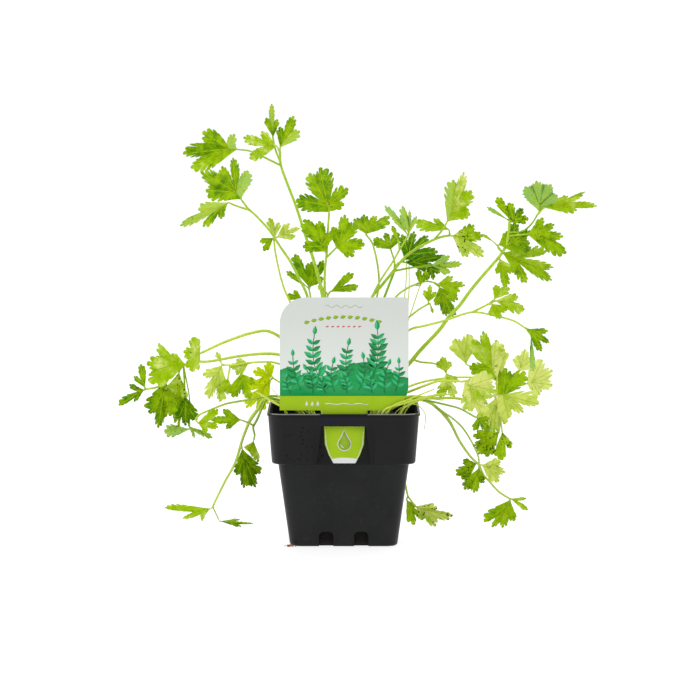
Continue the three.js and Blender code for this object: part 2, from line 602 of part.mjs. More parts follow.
frond('frond_floor_back', lushGreen, [14, 20], [1.2, 0.7], [
  [20, 95, 34], [26, 100, 46], [32, 90, 58], [37, 62, 64], [41, 36, 66], [42.5, 29, 66.5],
], [
  leaf([41.5, 27, 66], [[47, 10], [51, 14.5], [48, 22]], [0.2, 0.1], { bend: 0 }),
  leaf([47.5, 22.5, 66], [[52, 13], [61, 9], [72, 15], [62, 21]], [0.1, 0.1],
    { stalk: [[42.5, 29, 66.5]], bend: 0 }),
]);

// Left side
frond('frond_left_arch', lushGreen, [-20, -8], [1.4, 0.8], [
  [-28, 110, -17], [-37, 129, -24], [-42, 135, -28], [-50, 139, -32], [-55, 139, -35],
  [-62, 137.5, -38], [-68.5, 135.5, -40.5], [-81.5, 130.5, -46], [-93, 125, -50.5],
], [
  leaf([-95, 124, -50.5], [[-97, 135], [-105, 124], [-100, 112]], [0.5, 0.3]),
]);
frond('frond_left_droop', lushGreen, [-20, 2], [1.3, 0.7], [
  [-30, 106, 5.5], [-38, 119, 8.5], [-42, 123, 10], [-52, 124, 11], [-68.5, 122.5, 14],
  [-88, 119, 18],
  [-103.5, 117.5, 22.5], [-114.5, 108.5, 25], [-123, 102, 28], [-131, 100.5, 29.5],
], [
  leaf([-104.5, 117, 21], [[-113, 129], [-123, 128.5], [-129, 116], [-126, 105]], [0.2, 0.4],
    { stalk: [[-102, 117.7, 22.5]] }),
  leaf([-109, 112, 24], [[-107, 96], [-109.5, 76], [-117, 84]], [0.3, -0.2],
    { stalk: [[-107, 115.5, 24]] }),
  leaf([-118, 106, 26.5], [[-119, 84], [-124.5, 75.5], [-127, 88]], [0.2, 0.3],
    { stalk: [[-116, 107.5, 26]] }),
  leaf([-105, 96, 31], [[-98, 81], [-105, 76], [-110, 81]], [0.3, 0.2],
    { stalk: [[-106, 116, 24]] }),
  leaf([-103, 76, 35], [[-97, 69], [-86, 67]], [0.3, 0.3],
    { breadth: 0.5, stalk: [[-106, 116, 24], [-102, 92, 33.5]] }),
  leaf([-104, 76, 35], [[-120, 74]], [0.2, 2], { breadth: 0.4, stalk: [[-102.5, 82, 35]] }),
  leaf([-131.5, 101, 29.5], [[-134.5, 117], [-139, 109]], [0.3, 0.4]),
  leaf([-132, 100, 29.5], [[-142, 103.5], [-149, 89.5], [-139, 92]], [0.3, 0.5]),
]);
frond('frond_left_pale', paleGreen, [-21, -16], [0.9, 0.6], [
  [-30, 105, -28], [-38, 114, -32], [-42, 117, -35], [-48.5, 118.5, -38], [-62, 118, -42],
  [-73.5, 116.5, -46], [-79, 116.5, -47.5],
], [
  leaf([-63, 117.5, -42], [[-70, 109], [-74, 113]], [0.3, 0.5], { stalk: [[-61, 118, -42]] }),
  leaf([-68, 111, -46], [[-73.5, 95], [-63.5, 94.5], [-61.5, 104]], [0.3, 0.3],
    { stalk: [[-66, 117.3, -43.5]] }),
  leaf([-76.5, 108, -49], [[-82, 98], [-75.5, 98]], [0.4, 0.3], { stalk: [[-75, 116.3, -46]] }),
  leaf([-80.5, 117, -47.5], [[-84, 125]], [0.3, 0.3]),
  leaf([-80.5, 116.5, -47.5], [[-93, 110], [-89, 94], [-82, 92]], [0.3, 0.3]),
]);
frond('frond_left_yellow', paleGreen, [-22, 12], [0.8, 0.6], [
  [-30, 96, 22.5], [-39, 103, 26.5], [-44, 106, 28], [-47, 108, 28],
], [
  leaf([-47.5, 109, 28], [[-50, 118], [-60, 112], [-56, 105]], [0.4, 0.4]),
  leaf([-48, 107, 28], [[-66.5, 103], [-64.5, 90], [-54, 90]], [-0.2, -0.4]),
]);
frond('frond_left_low', lushGreen, [-26, -12], [1, 0.6], [
  [-36, 93, -22.5], [-46, 96, -28], [-54, 95, -32], [-62, 93.5, -35], [-68.5, 92.5, -36.5],
  [-78.5, 90.5, -39], [-85, 88, -40.5], [-96, 83, -43.5], [-98, 80, -45],
], [
  leaf([-96.5, 78, -45], [[-83, 87], [-83, 75], [-91, 71]], [-0.5, 0.5]),
]);
frond('frond_left_second', deepGreen, [-28, -4], [1, 0.6], [
  [-37, 91, -7], [-45, 94, -8.5], [-50.5, 94, -10], [-54, 88, -11], [-57.5, 80, -12.5],
  [-60, 75, -12.5],
  [-59, 70, -12.5], [-59.5, 67, -12.5],
], [
  leaf([-68, 80, -17], [[-80, 87], [-88, 80], [-78, 74]], [0.2, 0.4],
    { stalk: [[-59.5, 76, -12.5], [-63, 78, -15.5]] }),
  leaf([-59.8, 66, -12.5], [[-66, 61.5], [-56.5, 52]], [0.3, 0.3]),
]);
frond('frond_floor_left', lushGreen, [-27, 5], [1.3, 0.7], [
  [-37, 89.5, 8], [-45, 93, 11], [-52, 94, 14], [-57, 87, 18], [-62, 80, 22], [-65, 73, 25],
  [-67.5, 66, 28], [-72, 51.5, 36], [-78.5, 39.5, 43], [-85, 26.5, 52], [-87, 22, 56],
], [
  leaf([-67.5, 61, 28], [[-72, 45], [-66, 36.5], [-58, 38], [-56, 48]], [0.3, 0.3],
    { stalk: [[-68, 64, 29]] }),
  leaf([-88, 21, 57], [[-119, 24], [-109, 17], [-94, 14]], [-0.6, -0.4], { bend: 0 }),
  leaf([-83.5, 14, 54], [[-68.5, 10], [-60, 12], [-68.5, 16]], [0, 0.3],
    { stalk: [[-87, 22, 56]], bend: 0 }),
]);

// ---- soil ----

function soil() {
  const lump = (x, y) => 0.9 * Math.sin(0.21 * x + 1) * Math.cos(0.17 * y)
    + 0.5 * Math.sin(0.43 * y + 0.3 * x);
  const inner = (z) => {
    const share = (z - collarBottom) / (potHeight - collarBottom);
    return collarHalf + (rimHalf - 0.5 - collarHalf) * share - wall - clearance - 0.2;
  };
  const bodyInner = bodyTopHalf - wall - clearance;
  const footInner = baseHalf - wall - clearance - 0.3;
  const rings = [
    squareRing(footInner - 2, baseCorner - 4, floorThickness + clearance),
    squareRing(footInner, baseCorner - 2, 4.2),
    squareRing(bodyInner - 0.2, baseCorner, collarBottom + wall + 0.1),
    squareRing(bodyInner, baseCorner, collarBottom + wall + 2.2),
    squareRing(inner(collarBottom + 4.5), rimCorner - 3, collarBottom + 4.5),
    squareRing(inner(soilTop - 3), rimCorner - 3, soilTop - 3),
  ];
  for (const share of [0.97, 0.7, 0.4]) {
    const ring = squareRing(inner(soilTop) * share, (rimCorner - 3) * share, soilTop);
    ring.forEach((point) => { point.z += lump(point.x, point.y) + (1 - share) * 1.2 - 1; });
    rings.push(ring);
  }
  const holder = box(
    -holderHalf - clearance, holderHalf + clearance, -rimHalf, holderInside + clearance,
    collarBottom - 2, potHeight,
  );
  let shape = skin(rings).subtract(holder);
  for (const { root: [x, y], girth } of fronds) {
    const depth = rootDepth + 0.4;
    const radius = girth[0] + holeClearance;
    const hole = new THREE.CylinderGeometry(radius, radius, 2 * depth, 6);
    hole.rotateX(Math.PI / 2);
    hole.translate(x, y, soilTop);
    shape = shape.subtract(solidOf(hole));
  }
  return meshOf('soil', shape, soilCrumb);
}

const group = new THREE.Group();
group.add(pot(), soil(), label(), ...fronds.map(frondMesh));

export default group;
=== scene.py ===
"""Flat-leaf parsley in a square nursery pot, with its plant label in the pot's holder.

Pieces are modelled in millimetres and set down in metres. X is to the right, Y goes away from the
front, Z is up, and the origin is the middle of the pot's underside.
"""
import math
import random

import bmesh
import bpy
from mathutils import Matrix, Vector, noise


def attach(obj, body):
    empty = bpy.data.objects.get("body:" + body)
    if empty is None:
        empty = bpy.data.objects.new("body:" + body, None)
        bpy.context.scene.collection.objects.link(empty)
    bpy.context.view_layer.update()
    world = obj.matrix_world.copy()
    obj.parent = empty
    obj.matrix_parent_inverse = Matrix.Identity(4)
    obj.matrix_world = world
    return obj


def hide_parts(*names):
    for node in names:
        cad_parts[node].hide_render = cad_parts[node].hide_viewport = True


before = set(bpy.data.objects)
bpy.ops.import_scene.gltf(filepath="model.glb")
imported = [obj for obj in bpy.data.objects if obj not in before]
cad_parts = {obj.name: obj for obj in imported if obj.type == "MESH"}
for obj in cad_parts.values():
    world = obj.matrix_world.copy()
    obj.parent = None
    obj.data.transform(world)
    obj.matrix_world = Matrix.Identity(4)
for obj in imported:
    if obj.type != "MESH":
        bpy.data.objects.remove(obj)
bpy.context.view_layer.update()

MILLIMETRE = 0.001

# Pot, as half widths of its square sections, heights and corner radii
POT_HEIGHT = 88.5
RIM_HALF = 50
RIM_CORNER = 12
LIP_HEIGHT = 2.4
COLLAR_BOTTOM = 55
COLLAR_HALF = 47
COLLAR_CORNER = 11
BODY_TOP_HALF = 42.9
BODY_TOP_CORNER = 10
BASE_HALF = 35.5
BASE_CORNER = 8
BASE_EDGE = 2.2
WALL = 1.4
FLOOR_THICKNESS = 1.6
MOULDED_EDGE = 0.25

# Drain notches, two at the foot of each wall
NOTCH_HALF_WIDTH = 4.7
NOTCH_HEIGHT = 10
NOTCH_OFFSET = 11.5
NOTCH_CORNER = 3.2
NOTCH_DEPTH = 6

# Label holder: a block with a slot for the label, a window low down and a strap above it
HOLDER_BACK = -44.6
HOLDER_INSIDE = -42
HOLDER_HALF = 19
STRAP_BOTTOM = 80.4
STRAP_INSIDE = -48.1
WINDOW_TOP_HALF = 14.4
WINDOW_FOOT_HALF = 17.5
WINDOW_FLARE = 3
SLOT_HALF = 15.4

# Label: a panel on a neck, with a tongue below it, whose half widths go with their heights
LABEL_BACK = -44.9
LABEL_THICKNESS = 0.6
PANEL_LEFT, PANEL_RIGHT, PANEL_BOTTOM, PANEL_TOP = -41.6, 42.3, 90.6, 164.3
CORNER_TOP_LEFT, CORNER_TOP_RIGHT, CORNER_BOTTOM_RIGHT = 17, 2, 16
NECK_MIDDLE, NECK_HALF = 0.5, 14.2
TONGUE = [(13.3, 80.4), (12.7, 68.4), (10.2, 61.5), (7.1, 56)]

# Print on it: the tops of the lime band and of the pale strip at the tongue's foot, the bare edge
# round the print, and how far each layer of ink stands proud of the last
BAND_TOP, STRIP_TOP = 100, 59.6
MARGIN = 0.15
INK_STEP = 0.012

# Soil, the stem ends that stand in it, and the loose bits on it and on the pot
SOIL_TOP = 80
SOIL_CORNER = 9
ROOT_DEPTH = 12
CRUMB_COUNT = 230
SPECK_COUNT = 30

# Stems: their swelling at the soil, as a share of their girth, and how far it reaches
STALK_RADIUS = 0.6
SLIM_STALK_RADIUS = 0.45
SWELLING = 0.3
SWELLING_REACH = 9

# Leaves: the usual length of edge for a tooth, how deep the cuts between teeth are, how far the
# blade rises for each millimetre from its midrib, how far its teeth wave, and how far the dry
# tips reach
BLADE_THICKNESS = 0.34
TOOTH_PITCH = 4.6
TOOTH_CUT = 0.46
CUP = 0.3
FRILL = 0.25
DRY_TIP = 2.2

# Grids: columns across a lobe, rows to a tooth and how much the rows crowd towards the lobe's
# foot, the spacing of a stem's rings, steps round a corner of the pot and along a side, and how
# close two points are that become one
COLUMNS = 6
ROWS_PER_TOOTH = 8
ROW_CROWDING = 2.2
RING_SPACING = 2
CORNER_STEPS = 10
SIDE_STEPS = 6
WELD = 0.004

# The plant is laid out as it is seen from the front. A place is (across, up, back): the first two
# say where its sight line crosses the plant's middle plane, and the third how far it lies behind
# that plane. The eye stands this far in front of the plane, above the ground and to the right,
# and looks down by its pitch.
EYE_DISTANCE = 2650
EYE_HEIGHT = 335
EYE_SIDE = 4.16
EYE_PITCH = math.radians(4.5)

# Its lens, for a square picture
FOCAL_PIXELS = 4019
PICTURE_PIXELS = 700
SENSOR_WIDTH = 36


def in_space(across, up, back):
    reach = 1 + back / EYE_DISTANCE
    return Vector((across * reach, back, EYE_HEIGHT + (up - EYE_HEIGHT) * reach))


# ---- shader helpers ----


def linear(hex_colour):
    """The linear colour of a screen colour such as 0x7db000."""
    channels = [(hex_colour >> shift & 255) / 255 for shift in (16, 8, 0)]
    return [c / 12.92 if c <= 0.04045 else ((c + 0.055) / 1.055) ** 2.4 for c in channels] + [1]


class Value:
    """A shader socket that takes part in sums: every operation adds its Math node."""

    def __init__(self, finish, socket):
        self.finish = finish
        self.socket = socket

    def reckon(self, operation, *operands):
        sockets = dict(enumerate(operands))
        return self.finish.node("ShaderNodeMath", {"operation": operation}, sockets)

    def __add__(self, other):
        return self.reckon("ADD", self, other)

    __radd__ = __add__

    def __sub__(self, other):
        return self.reckon("SUBTRACT", self, other)

    def __rsub__(self, other):
        return self.reckon("SUBTRACT", other, self)

    def __mul__(self, other):
        return self.reckon("MULTIPLY", self, other)

    __rmul__ = __mul__

    def __abs__(self):
        return self.reckon("ABSOLUTE", self)

    def fraction(self):
        return self.reckon("FRACT", self)

    def clamped(self):
        return self.finish.node("ShaderNodeClamp", {}, {0: self})


class Finish:
    """A material, or the world's light, under construction."""

    def __init__(self, name, library=bpy.data.materials):
        self.material = library.new(name)
        self.material.use_nodes = True
        self.tree = self.material.node_tree
        self.tree.nodes.clear()

    def node(self, kind, settings, inputs, output=0):
        """Adds a node: settings first, then the value or link of each named or numbered socket."""
        made = self.tree.nodes.new(kind)
        for name, setting in settings.items():
            setattr(made, name, setting)
        for name, given in inputs.items():
            if isinstance(given, Value):
                self.tree.links.new(given.socket, made.inputs[name])
            else:
                made.inputs[name].default_value = given
        return None if output is None else Value(self, made.outputs[output])

    def place(self):
        return self.node("ShaderNodeTexCoord", {}, {}, "Object")

    def axes(self, vector=None):
        """The three numbers of a vector, or of the place on the piece."""
        split = self.node("ShaderNodeSeparateXYZ", {}, {0: vector or self.place()})
        return [Value(self, output) for output in split.socket.node.outputs]

    def vein_map(self):
        along, across, _ = self.axes(self.node("ShaderNodeUVMap", {"uv_map": "veins"}, {}))
        return along, across

    def attribute(self, name):
        return self.node("ShaderNodeAttribute", {"attribute_name": name}, {}, "Fac")

    def noise(self, size, detail=3, roughness=0.5, vector=None):
        """Cloudy noise about 0.5, with patches about so many millimetres across."""
        return self.node(
            "ShaderNodeTexNoise", {},
            {"Vector": vector or self.place(), "Scale": 1 / (size * MILLIMETRE),
             "Detail": detail, "Roughness": roughness},
        )

    def cells(self, size, feature="F1"):
        return self.node(
            "ShaderNodeTexVoronoi", {"feature": feature},
            {"Vector": self.place(), "Scale": 1 / (size * MILLIMETRE)}, "Distance",
        )

    def ease(self, value, low, high):
        """A smooth step: 0 where value is low, 1 where it is high."""
        return self.node(
            "ShaderNodeMapRange", {"interpolation_type": "SMOOTHSTEP"},
            {"Value": value, "From Min": low, "From Max": high},
        )

    def between(self, place, low, high):
        """The same step along one axis of the piece, from low to high in millimetres."""
        return self.ease(place, low * MILLIMETRE, high * MILLIMETRE)

    def blend(self, share, below, above):
        """Colours: below where share is 0, above where it is 1. A number is a screen colour."""
        colour_a, colour_b, colour_result = 6, 7, 2
        below, above = [linear(c) if isinstance(c, int) else c for c in (below, above)]
        return self.node(
            "ShaderNodeMix", {"data_type": "RGBA"},
            {0: share, colour_a: below, colour_b: above}, colour_result,
        )

    def bump(self, height, depth, strength):
        return self.node(
            "ShaderNodeBump", {},
            {"Height": height, "Strength": strength, "Distance": depth * MILLIMETRE})

    def surface(self, **inputs):
        named = {name.replace("_", " "): given for name, given in inputs.items()}
        return self.node("ShaderNodeBsdfPrincipled", {}, named)

    def done(self, shader, output="ShaderNodeOutputMaterial"):
        self.node(output, {}, {"Surface": shader}, None)
        return self.material


# ---- finishes ----


def leaf_finish(name, deep, lush, pale, roughness, underside=False):
    """One side of the leaves, by the tone, specks and dry tips that each point carries."""
    finish = Finish(name)
    patches = finish.noise(7, 4, 0.6)
    fine = finish.noise(1.1, 3, 0.6)
    along, across = finish.vein_map()
    midrib = finish.ease(abs(across), 0.5, 0.12)
    side_vein = finish.ease(abs(along.fraction() - 0.5), 0.13, 0.02)

    shade = finish.attribute("tone") + (patches - 0.5) * 1.5 + (fine - 0.5) * 0.35
    green = finish.blend(finish.ease(shade, -0.05, 0.7), deep, lush)
    green = finish.blend(finish.ease(shade, 0.6, 1.1), green, pale)
    green = finish.blend(finish.ease(shade, 1.3, 1.9), green, 0xdcec00)
    vein_share = 0.8 if underside else 0.65
    veins = (midrib * vein_share + side_vein * vein_share * 0.45).clamped()
    green = finish.blend(veins, green, 0xbcd818)
    dry = finish.ease(finish.attribute("tip") + (fine - 0.5) * 0.5, 0.45, 0.95)
    green = finish.blend(dry * 0.75, green, 0x85894a)
    specks = finish.ease(finish.cells(1.9) + (fine - 0.5) * 0.2, 0.36, 0.26)
    spotted = finish.attribute("specks")
    where = finish.ease(finish.noise(5.5, 1) + spotted * 0.22, 0.62, 0.68)
    green = finish.blend((specks * where * (spotted * 0.6 + 0.5)).clamped(), green, 0x2c2a10)

    if underside:
        relief = side_vein * 0.4 + midrib * 0.6 + finish.noise(2.2, 2) * 0.3
    else:
        net = finish.ease(finish.cells(1.3, "DISTANCE_TO_EDGE"), 0, 0.25)
        relief = finish.noise(2.2, 2) * 0.5 + net * 0.25 - side_vein * 0.35 - midrib * 0.55
    skin = finish.surface(
        Base_Color=green, Roughness=fine * 0.25 + (roughness - 0.12),
        Normal=finish.bump(relief, 0.5, 0.7), Specular_IOR_Level=0.06)
    glow = finish.node("ShaderNodeBsdfTranslucent", {}, {"Color": linear(0xc4de00)})
    return finish.done(finish.node("ShaderNodeMixShader", {}, {0: 0.28, 1: skin, 2: glow}))


def stem_finish():
    """Grooved stems, paler near the soil."""
    finish = Finish("parsley_stem")
    streaks = finish.noise(3)
    shade = finish.attribute("tone") + (streaks - 0.5) * 0.8
    green = finish.blend(finish.ease(shade, 0, 1), 0x8cbc00, 0xccde48)
    _, _, height = finish.axes()
    green = finish.blend(finish.between(height, 100, SOIL_TOP) * 0.25, green, 0xdcdf8c)
    around, _ = finish.vein_map()
    grooves = finish.ease(abs((around * 9).fraction() - 0.5), 0, 0.5)
    return finish.done(finish.surface(
        Base_Color=green, Roughness=streaks * 0.2 + 0.28,
        Normal=finish.bump(grooves + streaks * 0.4, 0.25, 0.6), IOR=1.4,
        Subsurface_Weight=0.25, Subsurface_Scale=0.0015, Subsurface_Radius=(0.8, 1.0, 0.25)))


def pot_finish():
    """Black plastic, dusty, with a painted highlight along the rim's front edge, and painted shade
    on the strap over the label and inside the holder window.
    """
    finish = Finish("pot_black_plastic")
    across, back, height = finish.axes()
    aside = abs(across)
    wide = finish.noise(22, 4, 0.6)
    dust = finish.ease(finish.noise(3.5, 5, 0.7), 0.52, 0.78) * 0.3
    colour = finish.blend(finish.ease(wide, 0.3, 0.7), 0x0a0b0c, 0x141515)
    colour = finish.blend(dust, colour, 0x343432)
    collar = finish.between(height, COLLAR_BOTTOM - 0.5, COLLAR_BOTTOM + 1)
    colour = finish.blend(collar * 0.6, colour, 0x030304)
    # Painted highlight: a pale, uneven line along the top of the rim's front edge, broken at the
    # slot.
    painted_lip_highlight = finish.between(height, POT_HEIGHT - 0.7, POT_HEIGHT - 0.3) \
        * finish.between(aside, SLOT_HALF - 0.6, SLOT_HALF + 0.4) \
        * finish.between(back, HOLDER_BACK - 0.4, HOLDER_BACK - 2.4)
    colour = finish.blend(painted_lip_highlight * (finish.noise(5, 2) * 0.5 + 0.4), colour, 0x9c9d98)
    # Painted shade, tinted navy, on the strap over the label; the strap is also made a little
    # smoother.
    strap = finish.between(height, STRAP_BOTTOM - 0.2, STRAP_BOTTOM + 0.2) \
        * finish.between(aside, SLOT_HALF + 0.8, SLOT_HALF - 0.4) \
        * finish.between(back, HOLDER_BACK + 0.6, HOLDER_BACK - 0.4)
    colour = finish.blend(strap * 0.9, colour, 0x050616)
    # Painted shade inside the holder window, behind the collar's front face.
    painted_recess_shade = finish.between(height, STRAP_BOTTOM + 0.4, STRAP_BOTTOM - 0.2) \
        * finish.between(height, COLLAR_BOTTOM - 0.6, COLLAR_BOTTOM - 0.2) \
        * finish.between(aside, HOLDER_HALF - 0.2, HOLDER_HALF - 0.8) \
        * finish.between(back, -COLLAR_HALF - 0.4, -COLLAR_HALF + 0.2)
    colour = finish.blend(painted_recess_shade * 0.9, colour, 0x030304)
    drawn_out = finish.node("ShaderNodeMapping", {}, {0: finish.place(), "Scale": (1, 1, 0.12)})
    streaks = finish.noise(1.6, 3, 0.6, drawn_out)
    grain = finish.noise(0.35, 3, 0.7)
    return finish.done(finish.surface(
        Base_Color=colour, Roughness=wide * 0.16 + streaks * 0.12 + 0.24 - strap * 0.08,
        Normal=finish.bump(grain * 0.6 + streaks * 0.8, 0.08, 0.5), Specular_IOR_Level=0.22))


def mottled_finish(name, dark, light, patch, detail, roughness, unevenness, specular):
    """A finish of two close tints, in patches about so many millimetres across."""
    finish = Finish(name)
    mottle = finish.noise(patch, detail)
    return finish.done(finish.surface(
        Base_Color=finish.blend(mottle, dark, light), Roughness=mottle * unevenness + roughness,
        Specular_IOR_Level=specular))


def ink_finish(name, tint):
    base = linear(tint)
    lighter = [channel * 1.12 for channel in base[:3]] + [1]
    return mottled_finish(name, base, lighter, patch=2.5, detail=3, roughness=0.35,
                          unevenness=0.1, specular=0.4)


def soil_finish():
    """Gritty potting mix, with painted shade, nearly black, low down behind the drain notches."""
    finish = Finish("potting_soil")
    clumps = finish.noise(4, 5, 0.7)
    grit = finish.cells(1.2)
    colour = finish.blend(finish.ease(clumps, 0.3, 0.75), 0x17100c, 0x4a3424)
    colour = finish.blend(finish.ease(grit, 0.25, 0.05) * 0.35, colour, 0x6d5238)
    _, _, height = finish.axes()
    # Painted shade: the mix goes nearly black from 30 mm down, where it shows through the drain
    # notches.
    colour = finish.blend(finish.between(height, 30, 14) * 0.93, colour, 0x050404)
    return finish.done(finish.surface(
        Base_Color=colour, Roughness=0.95, Normal=finish.bump(clumps + grit * 0.5, 1, 0.9),
        Specular_IOR_Level=0.25))


def crumb_finish(name, dark, light):
    finish = Finish(name)
    clumps = finish.noise(1.5, 4, 0.7)
    return finish.done(finish.surface(
        Base_Color=finish.blend(finish.ease(clumps, 0.3, 0.7), dark, light), Roughness=0.9,
        Normal=finish.bump(clumps, 0.6, 0.8), Specular_IOR_Level=0.3))


def label_finish():
    """Printed plastic: a grey panel that fades downwards, a lime band, and a lime tongue."""
    finish = Finish("label_print")
    across, _, height = finish.axes()
    fade = finish.between(height, BAND_TOP, PANEL_TOP - 2.3)
    colour = finish.blend(fade, 0xdae0da, 0xcdd1cc)
    lime = finish.blend(finish.noise(9, 2), 0x92b400, 0xa0c206)
    colour = finish.blend(finish.between(height, BAND_TOP + 0.1, BAND_TOP), colour, lime)
    aside = abs(across - NECK_MIDDLE * MILLIMETRE)
    above_arch = height + aside * aside * 12
    strip = finish.between(above_arch, STRIP_TOP + 0.1, STRIP_TOP)
    return finish.done(finish.surface(
        Base_Color=finish.blend(strip, colour, 0xd6d6d6),
        Roughness=finish.noise(0.5, 2) * 0.1 + 0.33,
        Normal=finish.bump(finish.noise(12, 2), 0.25, 0.4), Specular_IOR_Level=0.25))


# ---- mesh helpers ----


def faces_of(points):
    return {face for point in points for face in point.link_faces}


def finish_faces(points, number):
    for face in faces_of(points):
        face.material_index = number


def formed_grid(bm, columns, rows, place, chart=None):
    """A grid whose points go where place(u, v) puts them, u across and v along, both 0 to 1.

    chart(u, v, middle), where it is given, is the point's place on the piece's vein map, for a
    face with its middle there across the grid. Points that come to lie on each other are left for
    welded().
    """
    points = bmesh.ops.create_grid(bm, x_segments=columns, y_segments=rows, size=0.5)["verts"]
    spot = {point: (point.co.x + 0.5, point.co.y + 0.5) for point in points}
    if chart:
        veins = bm.loops.layers.uv.verify()
        for face in faces_of(points):
            middle = face.calc_center_median().x + 0.5
            for loop in face.loops:
                loop[veins].uv = chart(*spot[loop.vert], middle)
    for point, (u, v) in spot.items():
        point.co = place(u, v)
    return points


def welded(bm, points):
    """The points that are left after those on each other are made one."""
    bmesh.ops.remove_doubles(bm, verts=points, dist=WELD)
    return [point for point in points if point.is_valid]


def smooth_path(points, spacing):
    """Points about so far apart along a centripetal Catmull-Rom curve through the given ones."""
    ends = [2 * points[0] - points[1], *points, 2 * points[-1] - points[-2]]
    path = [points[0]]
    for four in zip(ends, ends[1:], ends[2:], ends[3:]):
        knots = [0.0]
        for one, other in zip(four, four[1:]):
            knots.append(knots[-1] + max((other - one).length, 1e-3) ** 0.5)
        steps = max(2, round((four[2] - four[1]).length / spacing))
        for step in range(1, steps + 1):
            t = knots[1] + (knots[2] - knots[1]) * step / steps
            mixed = four
            for reach in (1, 2):
                mixed = [
                    mixed[i].lerp(mixed[i + 1], (t - knots[i]) / (knots[i + reach] - knots[i]))
                    for i in range(len(mixed) - 1)
                ]
            path.append(mixed[0].lerp(mixed[1], step / steps))
    return path


def tube(bm, path, radii, sides):
    """A closed round tube along a path, its ends drawn in to points."""
    frames = []
    normal = Vector((0.3, 1, 0.1))
    for i, centre in enumerate(path):
        tangent = (path[min(i + 1, len(path) - 1)] - path[max(i - 1, 0)]).normalized()
        normal = (normal - tangent * normal.dot(tangent)).normalized()
        frames.append((centre, normal, tangent.cross(normal), radii[i]))
    closed = [(*frames[0][:3], 0), *frames, (*frames[-1][:3], 0)]
    last = len(closed) - 1

    def place(u, v):
        centre, ahead, left, radius = closed[round(v * last)]
        turn = u * math.tau
        return centre + (ahead * math.cos(turn) + left * math.sin(turn)) * radius

    return welded(bm, formed_grid(bm, sides, last, place, lambda u, v, _: (u, v)))


def loose_object(name, bm):
    mesh = bpy.data.meshes.new(name)
    bm.to_mesh(mesh)
    bm.free()
    made = bpy.data.objects.new(name, mesh)
    bpy.context.scene.collection.objects.link(made)
    return made


def set_down(name, bm, finishes, sharp_angle=None):
    """Makes the finished piece, in metres, and lets it ride on the object's body."""
    bmesh.ops.scale(bm, vec=(MILLIMETRE,) * 3, verts=bm.verts)
    piece = loose_object(name, bm)
    mesh = piece.data
    mesh.polygons.foreach_set("use_smooth", [True] * len(mesh.polygons))
    if sharp_angle:
        mesh.set_sharp_from_angle(angle=math.radians(sharp_angle))
    for finish in finishes:
        mesh.materials.append(finish)
    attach(piece, "root")
    return piece


# ---- leaves ----

LUSH, FRESH = ("leaf_green", 0.48), ("leaf_green", 0.68)
DEEP, PALE = ("leaf_deep", 0.05), ("leaf_pale", 0.85)
UPPER_SIDE, UNDERSIDE, STEM = 0, 1, 2


def side_of(vector):
    return Vector((-vector.y, vector.x))


def bezier(points, t):
    a, b, c, d = points
    s = 1 - t
    return a * s ** 3 + b * (3 * s * s * t) + c * (3 * s * t * t) + d * t ** 3


def wrapped(angle):
    return math.atan2(math.sin(angle), math.cos(angle))


